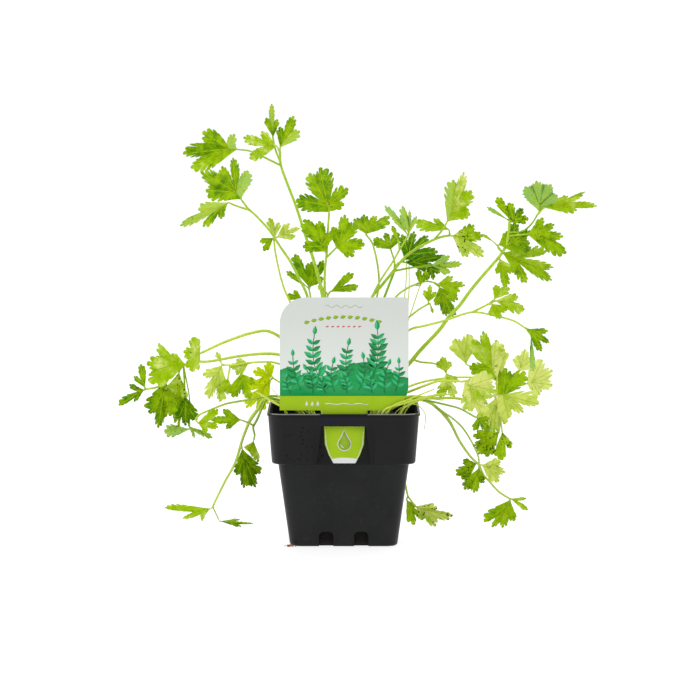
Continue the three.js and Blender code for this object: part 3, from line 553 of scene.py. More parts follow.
class Lobe:
    """One lobe of a blade, in the front view's plane, about its midrib from the fork to its tip."""

    def __init__(self, leaf, number, fork, tip, heading):
        self.leaf, self.number, self.fork, self.tip = leaf, number, fork, tip
        self.length = (tip - fork).length
        self.axis = (tip - fork) / self.length
        self.side = side_of(self.axis)
        self.turn = wrapped(math.atan2(self.axis.y, self.axis.x) - heading)
        self.margins, self.teeth, self.smooth = {}, {}, {}

    def add_margin(self, side, start, width, inner):
        """The edge's line on one side, from where it starts to the tip, and its count of teeth."""
        out = start - self.fork
        along, across = out.dot(self.axis), out.dot(self.side)
        length = self.length
        if inner:
            first = Vector((along + 0.3 * (length - along), across * 0.6 + side * width * 0.4))
            toothed = length - max(along, 0.25 * length)
        else:
            first = Vector((0.35 * length, side * width * 0.5))
            toothed = 0.62 * length
        second = Vector((0.9 * length, side * width * 1.5))
        self.margins[side] = (Vector((along, across)), first, second, Vector((length, 0)))
        self.teeth[side] = max(1, min(5, round(toothed / self.leaf.pitch)))
        self.smooth[side] = 1.5 if inner else self.teeth[side] * 0.6 + 0.6

    def draw_lots(self, chance):
        """How this lobe sways, rolls, droops and is slit between its teeth."""
        self.sway = chance.uniform(-0.08, 0.08) * self.length
        self.roll = chance.uniform(-0.15, 0.15)
        self.droop = chance.uniform(-0.03, 0.12)
        self.slits = {(side, k): chance.uniform(0.6, 1.3) for side in (-1, 1) for k in range(8)}

    def phase(self, v, side):
        """How many teeth lie between the start of the toothed edge and this place on it."""
        smooth = self.smooth[side]
        return v * (self.teeth[side] + smooth + 0.5) - smooth

    def rows(self):
        return round(max(self.teeth[k] + self.smooth[k] + 0.5 for k in (-1, 1)) * ROWS_PER_TOOTH)

    def flat(self, u, v):
        """A grid point's distances along the midrib and across it."""
        side = 1 if u > 0.5 else -1
        rib = Vector((self.length * v ** ROW_CROWDING, self.sway * math.sin(math.pi * v)))
        edge = bezier(self.margins[side], v)
        phase = self.phase(v, side)
        if phase > -0.5 and v < 1:
            pitch = self.leaf.pitch
            within = phase - math.floor(phase)
            slit = self.slits[side, max(0, round(phase))]
            grown = min(1, 0.5 + 0.5 * phase)
            cut = TOOTH_CUT * min(1, pitch / TOOTH_PITCH)
            narrow = min(0.6 * pitch, 3.6)
            edge = edge.lerp(rib, cut * slit * grown * abs(2 * within - 1) ** narrow)
        return rib.lerp(edge, abs(2 * u - 1))

    def place(self, u, v):
        """Its place in space: cupped along the midrib, and rolled, drooping and frilled."""
        local = self.flat(u, v)
        spot = self.fork + self.axis * local.x + self.side * local.y
        share = max(0, local.x / self.length)
        apart = min(1, 3 * v)
        free = apart * min(1, max(0, share * 2.2 - 0.4))
        side = 1 if u > 0.5 else -1
        back = self.leaf.depth(spot) + free * (self.roll * local.y - CUP * abs(local.y))
        back += apart * self.droop * self.length * share ** 2
        back += FRILL * math.cos(math.tau * self.phase(v, side)) * abs(2 * u - 1) * free
        return in_space(*spot, back)

    def chart(self, u, v, middle):
        """Its place on the vein map: one side vein to a tooth, and the distance from the midrib."""
        return self.phase(v, 1 if middle > 0.5 else -1), self.flat(u, v).y


class Leaf:
    """A leaflet: a blade with a lobe to each tip, on a stalk that runs into it.

    base is where the blade starts, and tips are (across, up) from one side of the blade round to
    the other. lean says how far the blade goes back for each millimetre across and up, and bend
    curls its ends back. stalk lists the stalk's places up to base. breadth widens the lobes, and
    cuts says how far out each gap between two tips starts, as a share of the lobes' length. tone
    runs from deep to pale green, for the whole leaf or tip by tip, specks is the share of dark
    specks, and pitch is the length of edge for a tooth. turned numbers the tips whose lobes show
    their underside, and a flipped leaf shows it all over.
    """

    def __init__(self, base, tips, lean, stalk=(), breadth=1, bend=0.25, cuts=None, turned=(),
                 tone=None, specks=0.1, pitch=TOOTH_PITCH, flipped=False):
        self.base, self.tips, self.lean, self.stalk = base, tips, lean, stalk
        self.breadth, self.bend, self.cuts, self.turned = breadth, bend, cuts, turned
        self.tone, self.specks, self.pitch, self.flipped = tone, specks, pitch, flipped

    def depth(self, spot):
        """How far back the blade lies at a spot of the front view."""
        out = spot - self.foot
        flat = self.base[2] + self.lean[0] * out.x + self.lean[1] * out.y
        return flat + self.bend * out.length_squared / self.span

    def grow_lobes(self, chance):
        self.foot = Vector(self.base[:2])
        ends = [Vector(tip) for tip in self.tips]
        mean = sum(ends, Vector((0, 0))) / len(ends) - self.foot
        self.fork = self.foot + 0.26 * mean
        heading = math.atan2(mean.y, mean.x)
        lobes = [Lobe(self, number, self.fork, end, heading) for number, end in enumerate(ends)]
        lobes.sort(key=lambda lobe: lobe.turn)
        luck = [chance.uniform(0.6, 1.15) for _ in lobes]
        for i, lobe in enumerate(lobes):
            free = (0.33 if len(ends) > 3 else 0.38) * self.breadth * lobe.length
            for side in (-1, 1):
                if not 0 <= i + side < len(lobes):
                    lobe.add_margin(side, self.foot, free, False)
                    continue
                other = lobes[i + side]
                gap = abs(other.turn - lobe.turn)
                if self.cuts:
                    share = self.cuts[min(lobe.number, other.number)]
                else:
                    share = min(max(0.64 - 0.36 * gap, 0.28), 0.6) * luck[min(i, i + side)]
                reach = share * min(lobe.length, other.length)
                notch = self.fork + (lobe.axis + other.axis).normalized() * reach
                wedge = lobe.length * math.tan(min(gap / 2, 1.2))
                lobe.add_margin(side, notch, min(free, 0.6 * min(1, self.breadth) * wedge), True)
        for lobe in lobes:
            lobe.draw_lots(chance)
        self.lobes = lobes
        self.span = max(lobe.length for lobe in lobes)

    def add_blade(self, bm, tones):
        """The blade as one sheet, its lobes welded along their shared edges, then thickened."""
        tone_layer = bm.verts.layers.float["tone"]
        sheet = []
        for lobe in self.lobes:
            grid = formed_grid(bm, COLUMNS, lobe.rows(), lobe.place, lobe.chart)
            sheet += grid
            for point in grid:
                point[tone_layer] = tones[lobe.number]
            finish_faces(grid, UPPER_SIDE if lobe.number in self.turned else UNDERSIDE)
        faces = list(faces_of(welded(bm, sheet)))
        bm.normal_update()
        frontward = sum(face.normal.y * face.calc_area() for face in faces) < 0
        if frontward == self.flipped:
            bmesh.ops.reverse_faces(bm, faces=faces)
        thicken(bm, faces)

    def add_stalk(self, bm):
        """The stalk, which runs out along the midrib past the fork."""
        radius = SLIM_STALK_RADIUS if self.breadth < 0.6 else STALK_RADIUS
        path = [in_space(*self.base)]
        if (in_space(*self.stalk[-1]) - path[0]).length > 0.5:
            path = smooth_path([*(in_space(*p) for p in self.stalk), path[0]], RING_SPACING)
        radii = [radius * (1.25 - 0.35 * i / len(path)) for i in range(len(path))]
        rib = self.foot.lerp(self.fork, 1.6)
        end = in_space(*rib, self.depth(rib) + 0.1)
        stalk = tube(bm, [*path, end], [*radii, radius * 0.35], 8)
        finish_faces(stalk, STEM)
        return stalk


def thicken(bm, sheet):
    """Makes a sheet the underside of a blade, under a copy of it for the upper side."""
    grown = bmesh.ops.extrude_face_region(bm, geom=sheet, use_keep_orig=True)["geom"]
    upper = {part for part in grown if isinstance(part, bmesh.types.BMFace)}
    bm.normal_update()
    for point in [part for part in grown if isinstance(part, bmesh.types.BMVert)]:
        normals = [face.normal * face.calc_area() for face in point.link_faces if face in upper]
        point.co += sum(normals, Vector()).normalized() * BLADE_THICKNESS
    for face in upper:
        face.material_index = UNDERSIDE if face.material_index == UPPER_SIDE else UPPER_SIDE


def add_leaf(bm, leaf, chance, frond_tone):
    """Adds a leaflet, with its tone, specks and dry tips written on its points."""
    tone_layer, speck_layer, tip_layer = [
        bm.verts.layers.float[name] for name in ("tone", "specks", "tip")]
    before = set(bm.verts)
    tone = frond_tone if leaf.tone is None else leaf.tone
    tones = tone if isinstance(tone, tuple) else [tone] * len(leaf.tips)
    luck = chance.uniform(-0.08, 0.08)
    leaf.grow_lobes(chance)
    leaf.add_blade(bm, [tone + luck for tone in tones])
    tips = [in_space(*lobe.tip, leaf.depth(lobe.tip)) for lobe in leaf.lobes]
    for point in bm.verts:
        if point not in before:
            point[speck_layer] = leaf.specks
            nearest = min((point.co - tip).length for tip in tips)
            point[tip_layer] = max(0, 1 - nearest / DRY_TIP)
    for point in leaf.add_stalk(bm):
        point[tone_layer] = max(0.3, tones[0])


def frond(name, kind, root, girth, route, leaves):
    """A frond from its root in the soil to its last leaves, in place of its node.

    girth is the stem's radius at the soil and at the route's end. A leaf with no stalk of its own
    starts there.
    """
    slot, tone = kind
    chance = random.Random(name)
    bm = bmesh.new()
    bm.loops.layers.uv.new("veins")
    for layer in ("tone", "specks", "tip"):
        bm.verts.layers.float.new(layer)
    for leaf in leaves:
        leaf.stalk = leaf.stalk or [route[-1]]
        add_leaf(bm, leaf, chance, tone)
    foot = [Vector((*root, z)) for z in (SOIL_TOP - ROOT_DEPTH, SOIL_TOP - 4, SOIL_TOP + 3)]
    path = smooth_path([*foot, *(in_space(*place) for place in route)], RING_SPACING)
    radii = []
    for i, point in enumerate(path):
        near_soil = max(0, 1 - abs(point.z - SOIL_TOP) / SWELLING_REACH)
        tapered = girth[0] + (girth[1] - girth[0]) * i / (len(path) - 1)
        radii.append(tapered * (1 + SWELLING * near_soil))
    stem = tube(bm, path, radii, 12)
    finish_faces(stem, STEM)
    tone_layer = bm.verts.layers.float["tone"]
    for point in stem:
        point[tone_layer] = tone
    piece = set_down("parsley_" + name, bm, [leaf_upper, leaf_under, stem_green], 50)
    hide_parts("frond_" + name)


leaf_upper = leaf_finish("parsley_leaf", 0x2c7200, 0xaacf06, 0xf4f890, 0.45)
leaf_under = leaf_finish("parsley_leaf_underside", 0x9ed070, 0xc2dc54, 0xe8f07a, 0.6, True)
stem_green = stem_finish()

# ---- the fronds ----

# Upper left
frond("tall_left", LUSH, (-9, 0), (1.6, 0.8), [
    (-11, 118, 1.5), (-14, 162, 4), (-19, 183, 5.5), (-25.5, 203, 8.5), (-32, 223, 10),
    (-37, 236, 11), (-41.5, 249, 11), (-42, 257, 11),
], [
    Leaf((-70, 259, 5.5), [(-72, 269), (-93, 270.5), (-106, 256), (-101, 247)], (0.25, 0.5),
         stalk=[(-41.5, 248.5, 11), (-55, 255, 8.5), (-62, 258, 7)], breadth=0.95,
         cuts=(0.35, 0.75, 0.6), turned=(0,), tone=(0.4, 0.35, 0.35, 0.5)),
    Leaf((-42, 260, 11), [(-29, 271), (-33, 281), (-42, 274)], (0.3, 0.2), cuts=(0.7, 0.5),
         turned=(0,), tone=(0.6, 0.4, 0.3)),
    Leaf((-44, 261, 10), [(-54, 271), (-66, 267), (-62, 253)], (-0.4, -0.3), breadth=0.85,
         cuts=(0.5, 0.25), tone=0.7),
    Leaf((-46.7, 267, 18), [(-44, 279), (-47.5, 289), (-51, 280)], (1.2, -0.3),
         stalk=[(-41.5, 250, 11), (-45, 259, 15.5)], breadth=0.9, cuts=(0.6, 0.6), turned=(1,),
         tone=0.4),
])
frond("high_left", LUSH, (-12, -12), (1.2, 0.7), [
    (-16, 118, -19.5), (-24, 162, -24), (-29, 173, -26.5), (-35.5, 185.5, -29.5), (-42, 195, -32),
    (-48.5, 205, -35), (-58, 215.5, -38), (-62.5, 219.5, -39), (-66, 224, -39),
], [
    Leaf((-76, 224, -45), [(-96, 219), (-108, 208.5), (-93, 208), (-81, 213)], (0.2, 0.7),
         stalk=[(-62, 219, -39), (-70, 221.5, -42)], breadth=1.15, cuts=(0.8, 0.3, 0.5),
         turned=(0, 1), tone=(0.5, 0.45, 0.3, 0.3), pitch=5.5),
    Leaf((-67.5, 226, -39), [(-63, 245), (-73, 253.5), (-80, 248), (-94, 244), (-91, 232)],
         (-0.2, 0.4), breadth=1.3, cuts=(0.4, 0.3, 0.85, 0.85), turned=(0,),
         tone=(0.3, 0.35, 0.35, 0.4, 0.4), pitch=4),
])
frond("thin_left", PALE, (-14, 10), (0.9, 0.6), [
    (-22, 118, 19.5), (-35, 157, 28), (-39, 166, 31), (-42, 176, 32), (-44, 185, 33.5),
    (-45.5, 193, 33.5), (-46, 199, 33.5),
], [
    Leaf((-45.5, 201, 33.5), [(-43, 211), (-49, 214)], (0.5, -0.3)),
    Leaf((-44.5, 201, 33.5), [(-32, 202), (-29, 207), (-36, 210)], (0.6, 0.5)),
    Leaf((-46.5, 200.5, 33.5), [(-55.5, 198), (-53, 192)], (0.5, 0.8), tone=0.5),
])
frond("centre", LUSH, (-4, -11), (1.1, 0.7), [
    (-7, 118, -19.5), (-12, 160, -25), (-12.5, 176, -26.5), (-11, 193, -28), (-10.5, 203, -28),
    (-9.7, 216, -26.5),
], [
    Leaf((-9.7, 217.5, -26.5), [(0.5, 223), (3, 233), (-16, 247), (-22.5, 243.5), (-31.5, 225.5)],
         (0.3, 0.45), breadth=1.15, cuts=(0.6, 0.35, 0.85, 0.3), tone=(0.5, 0.35, 0.25, 0.35, 0.2),
         pitch=5.2),
    Leaf((-12, 191.5, -29.5), [(-8.5, 204), (-16, 212), (-26, 213), (-27, 195)], (-0.4, -0.2),
         stalk=[(-11, 189, -28)], breadth=1.15, cuts=(0.8, 0.8, 0.35), tone=0.4, pitch=5.2),
    Leaf((-5, 194, -31), [(7, 188.5), (14, 196), (8, 211), (1, 216), (-7, 208)], (-0.3, 0.3),
         stalk=[(-11, 188, -28)], breadth=1.15, cuts=(0.75, 0.28, 0.8, 0.7), tone=0.42, pitch=5.2),
])
frond("inner_left", LUSH, (-9, 14), (0.8, 0.6), [
    (-14, 115, 25), (-20, 148, 31), (-22, 162, 33.5), (-23, 167, 33.5),
], [
    Leaf((-23, 168, 33.5), [(-24, 184), (-32, 190)], (0.3, 0.4), tone=0.2),
    Leaf((-22.5, 168, 33.5), [(-13, 174), (-13.5, 186), (-21, 185)], (-0.2, -0.2), tone=0.2),
    Leaf((-24, 168, 33.5), [(-38, 178.5)], (0.5, 0.5), breadth=0.5, tone=0.3),
    Leaf((-27.5, 160, 35), [(-33, 166), (-38, 163)], (0.4, -0.5), stalk=[(-22, 160, 33.5)]),
])
frond("inner_centre", LUSH, (-1, 8), (0.8, 0.6), [
    (-4, 112, 14), (-9, 145, 17), (-11, 158, 18), (-10.5, 163, 18),
], [
    Leaf((-9, 165, 18.5), [(9.5, 169), (6.5, 177)], (0.4, 0.3), breadth=0.8, cuts=(0.15,),
         tone=0.5),
    Leaf((-11, 164, 18), [(-17, 169)], (0.4, 0.3)),
])

# Upper right
frond("upper_centre", LUSH, (5, 0), (1, 0.6), [
    (9, 118, 3), (18, 148, 5.5), (22, 162, 7), (23.3, 172, 8.5), (22.6, 181, 8.5), (20.7, 191, 8.5),
    (18.7, 197.5, 8.5), (15.5, 202, 8.5),
], [
    Leaf((14.7, 203, 8.5), [(30, 215), (22, 215), (13, 216), (6.5, 213)], (0.2, 0.6), breadth=1.2,
         cuts=(0.55, 0.4, 0.75), tone=0.45),
])
frond("upper_thin", LUSH, (5, -12), (0.9, 0.6), [
    (9, 118, -21), (15, 148, -24), (19, 162, -25), (24.6, 173, -26.5), (32.5, 185, -28),
    (37, 193, -28), (42, 201, -28),
], [
    Leaf((43, 203, -28), [(48, 215), (43.5, 219), (39, 222)], (0.3, 0.4), breadth=0.75, tone=0.3,
         flipped=True),
    Leaf((43, 205, -28), [(27, 222)], (0.3, 1), breadth=0.4, tone=0.1, flipped=True),
    Leaf((42, 203, -28), [(37, 215), (32, 215.5)], (0.4, 0.3), breadth=0.5, tone=0.2, flipped=True),
    Leaf((36, 199, -29.5), [(32, 208.5)], (0.4, 0.3), stalk=[(37, 193, -28)], breadth=0.7),
])
frond("upper_right", LUSH, (8, 8), (1.5, 0.8), [
    (11, 118, 14), (16, 148, 17), (19, 162, 18), (24, 168, 19.5), (30.6, 176, 21),
    (40, 187.5, 22.5), (50.5, 195, 25), (63.5, 201, 28), (70, 202.3, 29.5),
], [
    Leaf((71.5, 202, 29.5), [(82, 188), (92, 188), (92, 202), (86, 209)], (0.2, 0.5),
         cuts=(0.75, 0.4, 0.75), turned=(0, 1), tone=(0.85, 0.8, 0.55, 0.6), specks=0.8),
    Leaf((68, 211, 24), [(83.5, 216), (84, 232), (79, 244), (72.5, 239)], (0.3, 0.2),
         stalk=[(60, 200, 27.5), (65.5, 206.5, 25)], cuts=(0.8, 0.8, 0.85), turned=(3,),
         tone=(0.55, 0.65, 0.8, 0.45)),
    Leaf((69.5, 206, 29.5), [(59, 213), (47, 211.5)], (0.2, 0.9), tone=0.6),
])
frond("dark_right", DEEP, (7, 17), (1.2, 0.8), [
    (12, 118, 36.5), (20, 145, 46), (27, 162, 52), (32, 175, 56), (36, 184, 57.5), (39, 185, 59),
], [
    Leaf((31, 193, 59), [(36, 204), (27, 204), (19.5, 200)], (0.3, 0.4),
         stalk=[(33, 177, 56), (33.5, 184, 57.5)], breadth=1.3, tone=0.25),
    Leaf((39.8, 186, 59), [(62, 191.5), (55.6, 202), (46.4, 205), (38.5, 203)], (0.3, 0.3)),
    Leaf((40, 184.5, 59), [(61, 181), (67, 189), (54, 189)], (0.2, -0.6)),
    Leaf((57, 182, 61.5), [(70.5, 178), (78, 183.5), (70, 188.5)], (0.3, 0.4),
         stalk=[(34, 179, 56), (45, 181, 59)], tone=0.2, flipped=True),
    Leaf((57, 183, 61.5), [(63.5, 177.5), (59, 173), (55, 172.5)], (-0.3, -0.5),
         stalk=[(50, 181.5, 60)]),
])
frond("mid_right", LUSH, (13, 1), (1, 0.6), [
    (19, 115, 0), (28, 145, -3), (34, 161, -4), (40.5, 166.5, -4), (49, 170.5, -5.5),
    (55.5, 172, -7), (60, 171, -8.5),
], [
    Leaf((50.4, 169, -7), [(55, 178.5), (49.5, 180)], (0.3, -0.4), stalk=[(47, 169.8, -5.5)],
         tone=0.4),
    Leaf((61.5, 170, -8.5), [(77, 165.5), (80, 169), (72, 175)], (0.2, 0.6), tone=0.6),
    Leaf((63, 168.5, -8.5), [(60.5, 156), (68, 149), (72.5, 147.5), (75.5, 160)], (0.3, -0.4),
         cuts=(0.7, 0.85, 0.6), tone=(0.3, 0.2, 0.2, 0.45), specks=0.5),
])
frond("small_right", LUSH, (12, -9), (0.8, 0.6), [
    (18, 115, -21), (30, 138, -28), (43, 148, -33.5), (50, 153.5, -35), (56, 157, -36.5),
], [
    Leaf((56, 158, -36.5), [(61, 165), (57, 169.5), (53, 166)], (0.3, 0.3), tone=0.6),
    Leaf((57, 157.5, -36.5), [(59, 151)], (0.3, 0.3), breadth=0.6, tone=0.6),
])

# Right side
frond("big_right", LUSH, (20, -5), (1.6, 0.9), [
    (30, 105, -10), (42, 116, -12.5), (50.5, 126, -14), (57, 133, -15.5), (63.5, 140, -17),
    (70, 149, -18), (77, 156.5, -19.5), (83.5, 165.5, -19.5), (90, 173.5, -19.5),
    (96.5, 181, -19.5), (102.5, 188, -19.5), (106.5, 194, -19.5), (108.5, 201, -18),
    (109.5, 212, -18),
], [
    Leaf((102, 196, -21), [(123.5, 193.5), (121, 200), (108, 205)], (0.2, 0.5),
         stalk=[(105, 191, -19.5), (102, 194, -21)]),
    Leaf((99, 198, -21), [(91.5, 203)], (0.3, 0.4), stalk=[(105, 191, -19.5), (101, 196, -21)],
         breadth=0.5),
    Leaf((104.5, 191, -19.5), [(121, 171), (137.5, 172.5), (138.5, 181), (134, 191.5)], (0.3, 0.4),
         stalk=[(102, 187, -19.5)], breadth=0.85, cuts=(0.25, 0.8, 0.15),
         tone=(0.5, 0.45, 0.5, 0.7)),
    Leaf((103, 187, -21), [(101, 177), (107.5, 168), (112.5, 178)], (-0.3, -0.4),
         stalk=[(101, 186.5, -19.5)], breadth=0.95, cuts=(0.6, 0.6), tone=0.6),
    Leaf((121, 203, -19.5), [(147, 190.5), (145, 201.5), (139, 209.5), (131.5, 214)], (0.2, 0.5),
         stalk=[(108.5, 202, -18)], breadth=0.9, cuts=(0.65, 0.6, 0.5), tone=(0.45, 0.5, 0.5, 0.55),
         pitch=5.4),
    Leaf((109.5, 197, -19.5), [(123, 197), (123.5, 205), (113, 211)], (-0.2, 0.3),
         stalk=[(107, 195, -19.5)], tone=0.3, specks=0.6),
    Leaf((110.5, 211, -18), [(122, 213.5), (118.5, 220), (109, 224)], (-0.3, -0.2), breadth=1.2,
         tone=0.3, specks=0.8),
    Leaf((109.5, 213, -17), [(101, 227.5)], (0.3, -0.5), breadth=0.8, tone=0.5, specks=0.9),
    Leaf((108.5, 212.5, -17), [(94.5, 221)], (0.3, -0.7), breadth=0.4, tone=0.1, flipped=True),
    Leaf((129, 218, -11), [(141, 229), (137, 236), (127, 238.5), (119.5, 234.5)], (0.3, -0.2),
         stalk=[(109, 204, -18), (118, 205, -17), (124, 210, -14)], breadth=1.2,
         cuts=(0.88, 0.88, 0.88), tone=0.2, specks=0, pitch=2.2, flipped=True),
    Leaf((132, 220.5, -11), [(154, 219), (167, 221.5), (159, 231), (148, 228)], (0.15, 0.6),
         stalk=[(127, 215, -12.5)], breadth=0.8, cuts=(0.8, 0.55, 0.6), tone=0.6),
    Leaf((68, 112, -25), [(71, 118.5), (65, 122), (61.5, 118.5)], (0.3, 0.4),
         stalk=[(46, 120, -14), (51, 118.5, -17), (60, 117.5, -21), (65.5, 115, -24)], breadth=1.2,
         cuts=(0.6, 0.8), tone=0.75),
    Leaf((68, 111, -25), [(64, 95), (73, 95), (76, 106)], (0.3, 0.4), stalk=[(65.5, 115, -24)],
         tone=0.75),
])
frond("right_low_arch", FRESH, (18, -16), (1, 0.6), [
    (24, 110, -28), (34, 130, -33.5), (44, 140, -38), (53.5, 142.5, -40.5), (63.5, 145, -43.5),
    (70, 147, -45), (85, 151.5, -47.5), (98.5, 149.5, -50.5), (113, 145.5, -53), (120, 141, -53),
], [
    Leaf((99.5, 160, -49), [(109.5, 167.5), (100.5, 169.5)], (0.4, 0.2),
         stalk=[(85, 151.5, -47.5), (96.5, 157.5, -49)], cuts=(0.6,), tone=0.62),
    Leaf((100, 159, -49), [(119.5, 153), (115.5, 161.5)], (0.2, 0.6), stalk=[(96, 157, -49)],
         cuts=(0.5,), tone=0.66),
    Leaf((98, 157, -50.5), [(97, 149), (103.5, 147), (108, 152.5)], (-0.3, 0.4),
         stalk=[(95, 156.7, -49)], cuts=(0.7, 0.5), tone=0.66),
    Leaf((121.5, 140.5, -53), [(131, 125.5), (136, 131), (135, 139)], (0.3, 0.5), breadth=0.7,
         cuts=(0.5, 0.5), tone=0.3),
    Leaf((124, 136, -53), [(125.6, 112.5)], (2, 0.2), stalk=[(121, 140, -53)], breadth=0.35, tone=0,
         flipped=True),
])
frond("right_broad", FRESH, (22, 4), (1.3, 0.8), [
    (32, 92, 8.5), (44, 95.5, 10), (57, 94.5, 11), (73.5, 94.5, 12.5), (82, 93.5, 12.5),
    (101, 96.5, 14),
], [
    Leaf((101.5, 96.6, 14), [(109, 81), (119, 85), (129, 90.5), (120, 112), (107, 114.5)],
         (0.25, 0.3), breadth=1.4, cuts=(0.55, 0.5, 0.15, 0.75), turned=(0, 1, 2),
         tone=(1.05, 1, 1, 0.55, 0.45), specks=0, pitch=6),
    Leaf((101, 95, 11), [(93, 75.5), (99.5, 70), (106.5, 77)], (0.3, -0.3), stalk=[(99, 96.3, 14)],
         breadth=1.6, cuts=(0.85, 0.85), tone=1, specks=0, pitch=14, flipped=True),
    Leaf((101.5, 107.5, 15.5), [(100.5, 133), (92, 139), (85, 133), (83, 115)], (0.3, 0.3),
         stalk=[(101, 96.5, 14)], breadth=1.3, cuts=(0.6, 0.8, 0.35), tone=(0.95, 0.55, 0.7, 0.4),
         pitch=5.5),
    Leaf((103, 108, 19.5), [(104.5, 128), (98.5, 130)], (0.2, 0.1), stalk=[(101.3, 104, 15.5)],
         breadth=1.2, cuts=(0.8,), tone=1.05, specks=0, pitch=14, flipped=True),
    Leaf((81, 117, 26.5), [(82, 137), (73.5, 134)], (0.3, 0.3),
         stalk=[(101.4, 106, 15.5), (92, 111, 24)], breadth=1.5, cuts=(0.75,), tone=1.05, specks=0,
         pitch=14, flipped=True),
    Leaf((103, 72, 18), [(85.5, 69), (85.5, 62.5), (89, 57), (94, 55.5)], (0.2, 0.4),
         stalk=[(100, 96.4, 14), (103, 85, 18)], breadth=1.15, cuts=(0.45, 0.9, 0.9), tone=0.42,
         specks=1, pitch=13),
    Leaf((105, 72, 18), [(110.5, 61), (104.5, 53)], (0.6, 0.5), stalk=[(103, 85, 18)], breadth=1.15,
         tone=0.5, specks=0.9, pitch=12),
])
frond("right_front", PALE, (25, -12), (1.1, 0.7), [
    (34, 95, -24), (44, 99, -28), (50.5, 101.5, -31), (57, 104, -33.5), (64, 106, -36.5),
    (79, 105.5, -42),
], [
    Leaf((80, 106, -42), [(85, 85.5), (91.5, 82.5), (101, 99), (99, 108)], (0.3, 0.4), breadth=1.5,
         cuts=(0.7, 0.7, 0.85), tone=(0.9, 0.85, 0.9, 1), specks=0, pitch=7),
])
frond("right_dark", DEEP, (28, -5), (0.9, 0.6), [
    (38, 93, -11), (46, 94.5, -14), (57, 92.5, -17), (70, 89.5, -19.5), (77, 87.5, -21),
    (87, 82, -22.5),
], [
    Leaf((88.6, 81.5, -22.5), [(86, 73), (96.5, 72.5), (96.5, 81)], (0.3, 0.4), tone=0.4,
         specks=0.6),
])
frond("right_back", PALE, (20, 14), (0.9, 0.6), [
    (30, 95, 31), (48, 104, 45), (70, 108, 56), (95, 108, 64.5), (112, 107, 68.5), (119, 104.5, 70),
], [
    Leaf((116, 112, 70), [(125, 120), (119.7, 127), (115, 123)], (0.2, 0.3),
         stalk=[(108, 107.3, 68)], breadth=1.7, cuts=(0.85, 0.85), tone=1.2, specks=0, pitch=9),
    Leaf((121, 104, 70), [(129.5, 96.5), (138, 103), (138, 113), (131, 120)], (0.3, 0.3),
         breadth=1.45, cuts=(0.7, 0.7, 0.7), tone=1.2, specks=0, pitch=8),
])
frond("floor_right", LUSH, (28, 10), (1.2, 0.7), [
    (36, 90, 13), (44, 92.5, 16), (50.5, 93.5, 18), (57, 91.5, 21), (63.5, 86.5, 24), (70, 79, 28),
    (77, 65.5, 34), (84.5, 55, 39), (89.5, 50, 42), (92.5, 43.5, 45), (96.5, 39, 47), (103, 32, 50),
    (110, 27.5, 52),
], [
    Leaf((88, 51, 42), [(79, 53.5), (74.5, 43), (78, 40.5)], (0.3, 0.3), stalk=[(89.5, 50, 42)],
         cuts=(0.5, 0.8), tone=0.4, specks=0.9),
    Leaf((89.5, 48, 43), [(80, 33.5), (86, 31.5), (93, 38)], (0.2, 0.3),
         stalk=[(60, 89.5, 22), (67, 84.5, 24), (71.5, 81.5, 27), (78.5, 75, 31), (86, 63, 36),
             (89.5, 54, 41)], cuts=(0.8, 0.7), tone=(0.4, 0.5, 0.3), specks=0.5),
    Leaf((91.5, 50, 43), [(103, 39), (107, 45), (104, 52)], (0.2, 0.5), stalk=[(89.5, 50, 42)],
         breadth=1.25, cuts=(0.7, 0.7), tone=1, specks=0, pitch=7, flipped=True),
    Leaf((110.5, 27.5, 52), [(122, 20), (121, 27.5)], (0.3, 0.5), breadth=0.6, cuts=(0.2,),
         tone=0.66),
    Leaf((110.5, 27, 52), [(113, 12.5), (105, 8), (98, 8.5), (93, 12)], (0, -0.15), bend=0,
         cuts=(0.7, 0.7, 0.3), tone=(0.5, 0.6, 0.6, 0.4), specks=0, pitch=6),
])
frond("floor_back", LUSH, (14, 20), (1.2, 0.7), [
    (20, 95, 34), (26, 100, 46), (32, 90, 58), (37, 62, 64), (41, 36, 66), (42.5, 29, 66.5),
], [
    Leaf((41.5, 27, 66), [(47, 10), (51, 14.5), (48, 22)], (0.2, 0.1), bend=0, tone=0.45, pitch=7),
    Leaf((47.5, 22.5, 66), [(52, 13), (61, 9), (72.5, 16.5), (62, 21)], (0.1, 0.1),
         stalk=[(42.5, 29, 66.5)], breadth=1.3, bend=0, cuts=(0.8, 0.75, 0.8), turned=(2, 3),
         tone=(0.7, 0.9, 1, 1), specks=0.8, pitch=7),
])

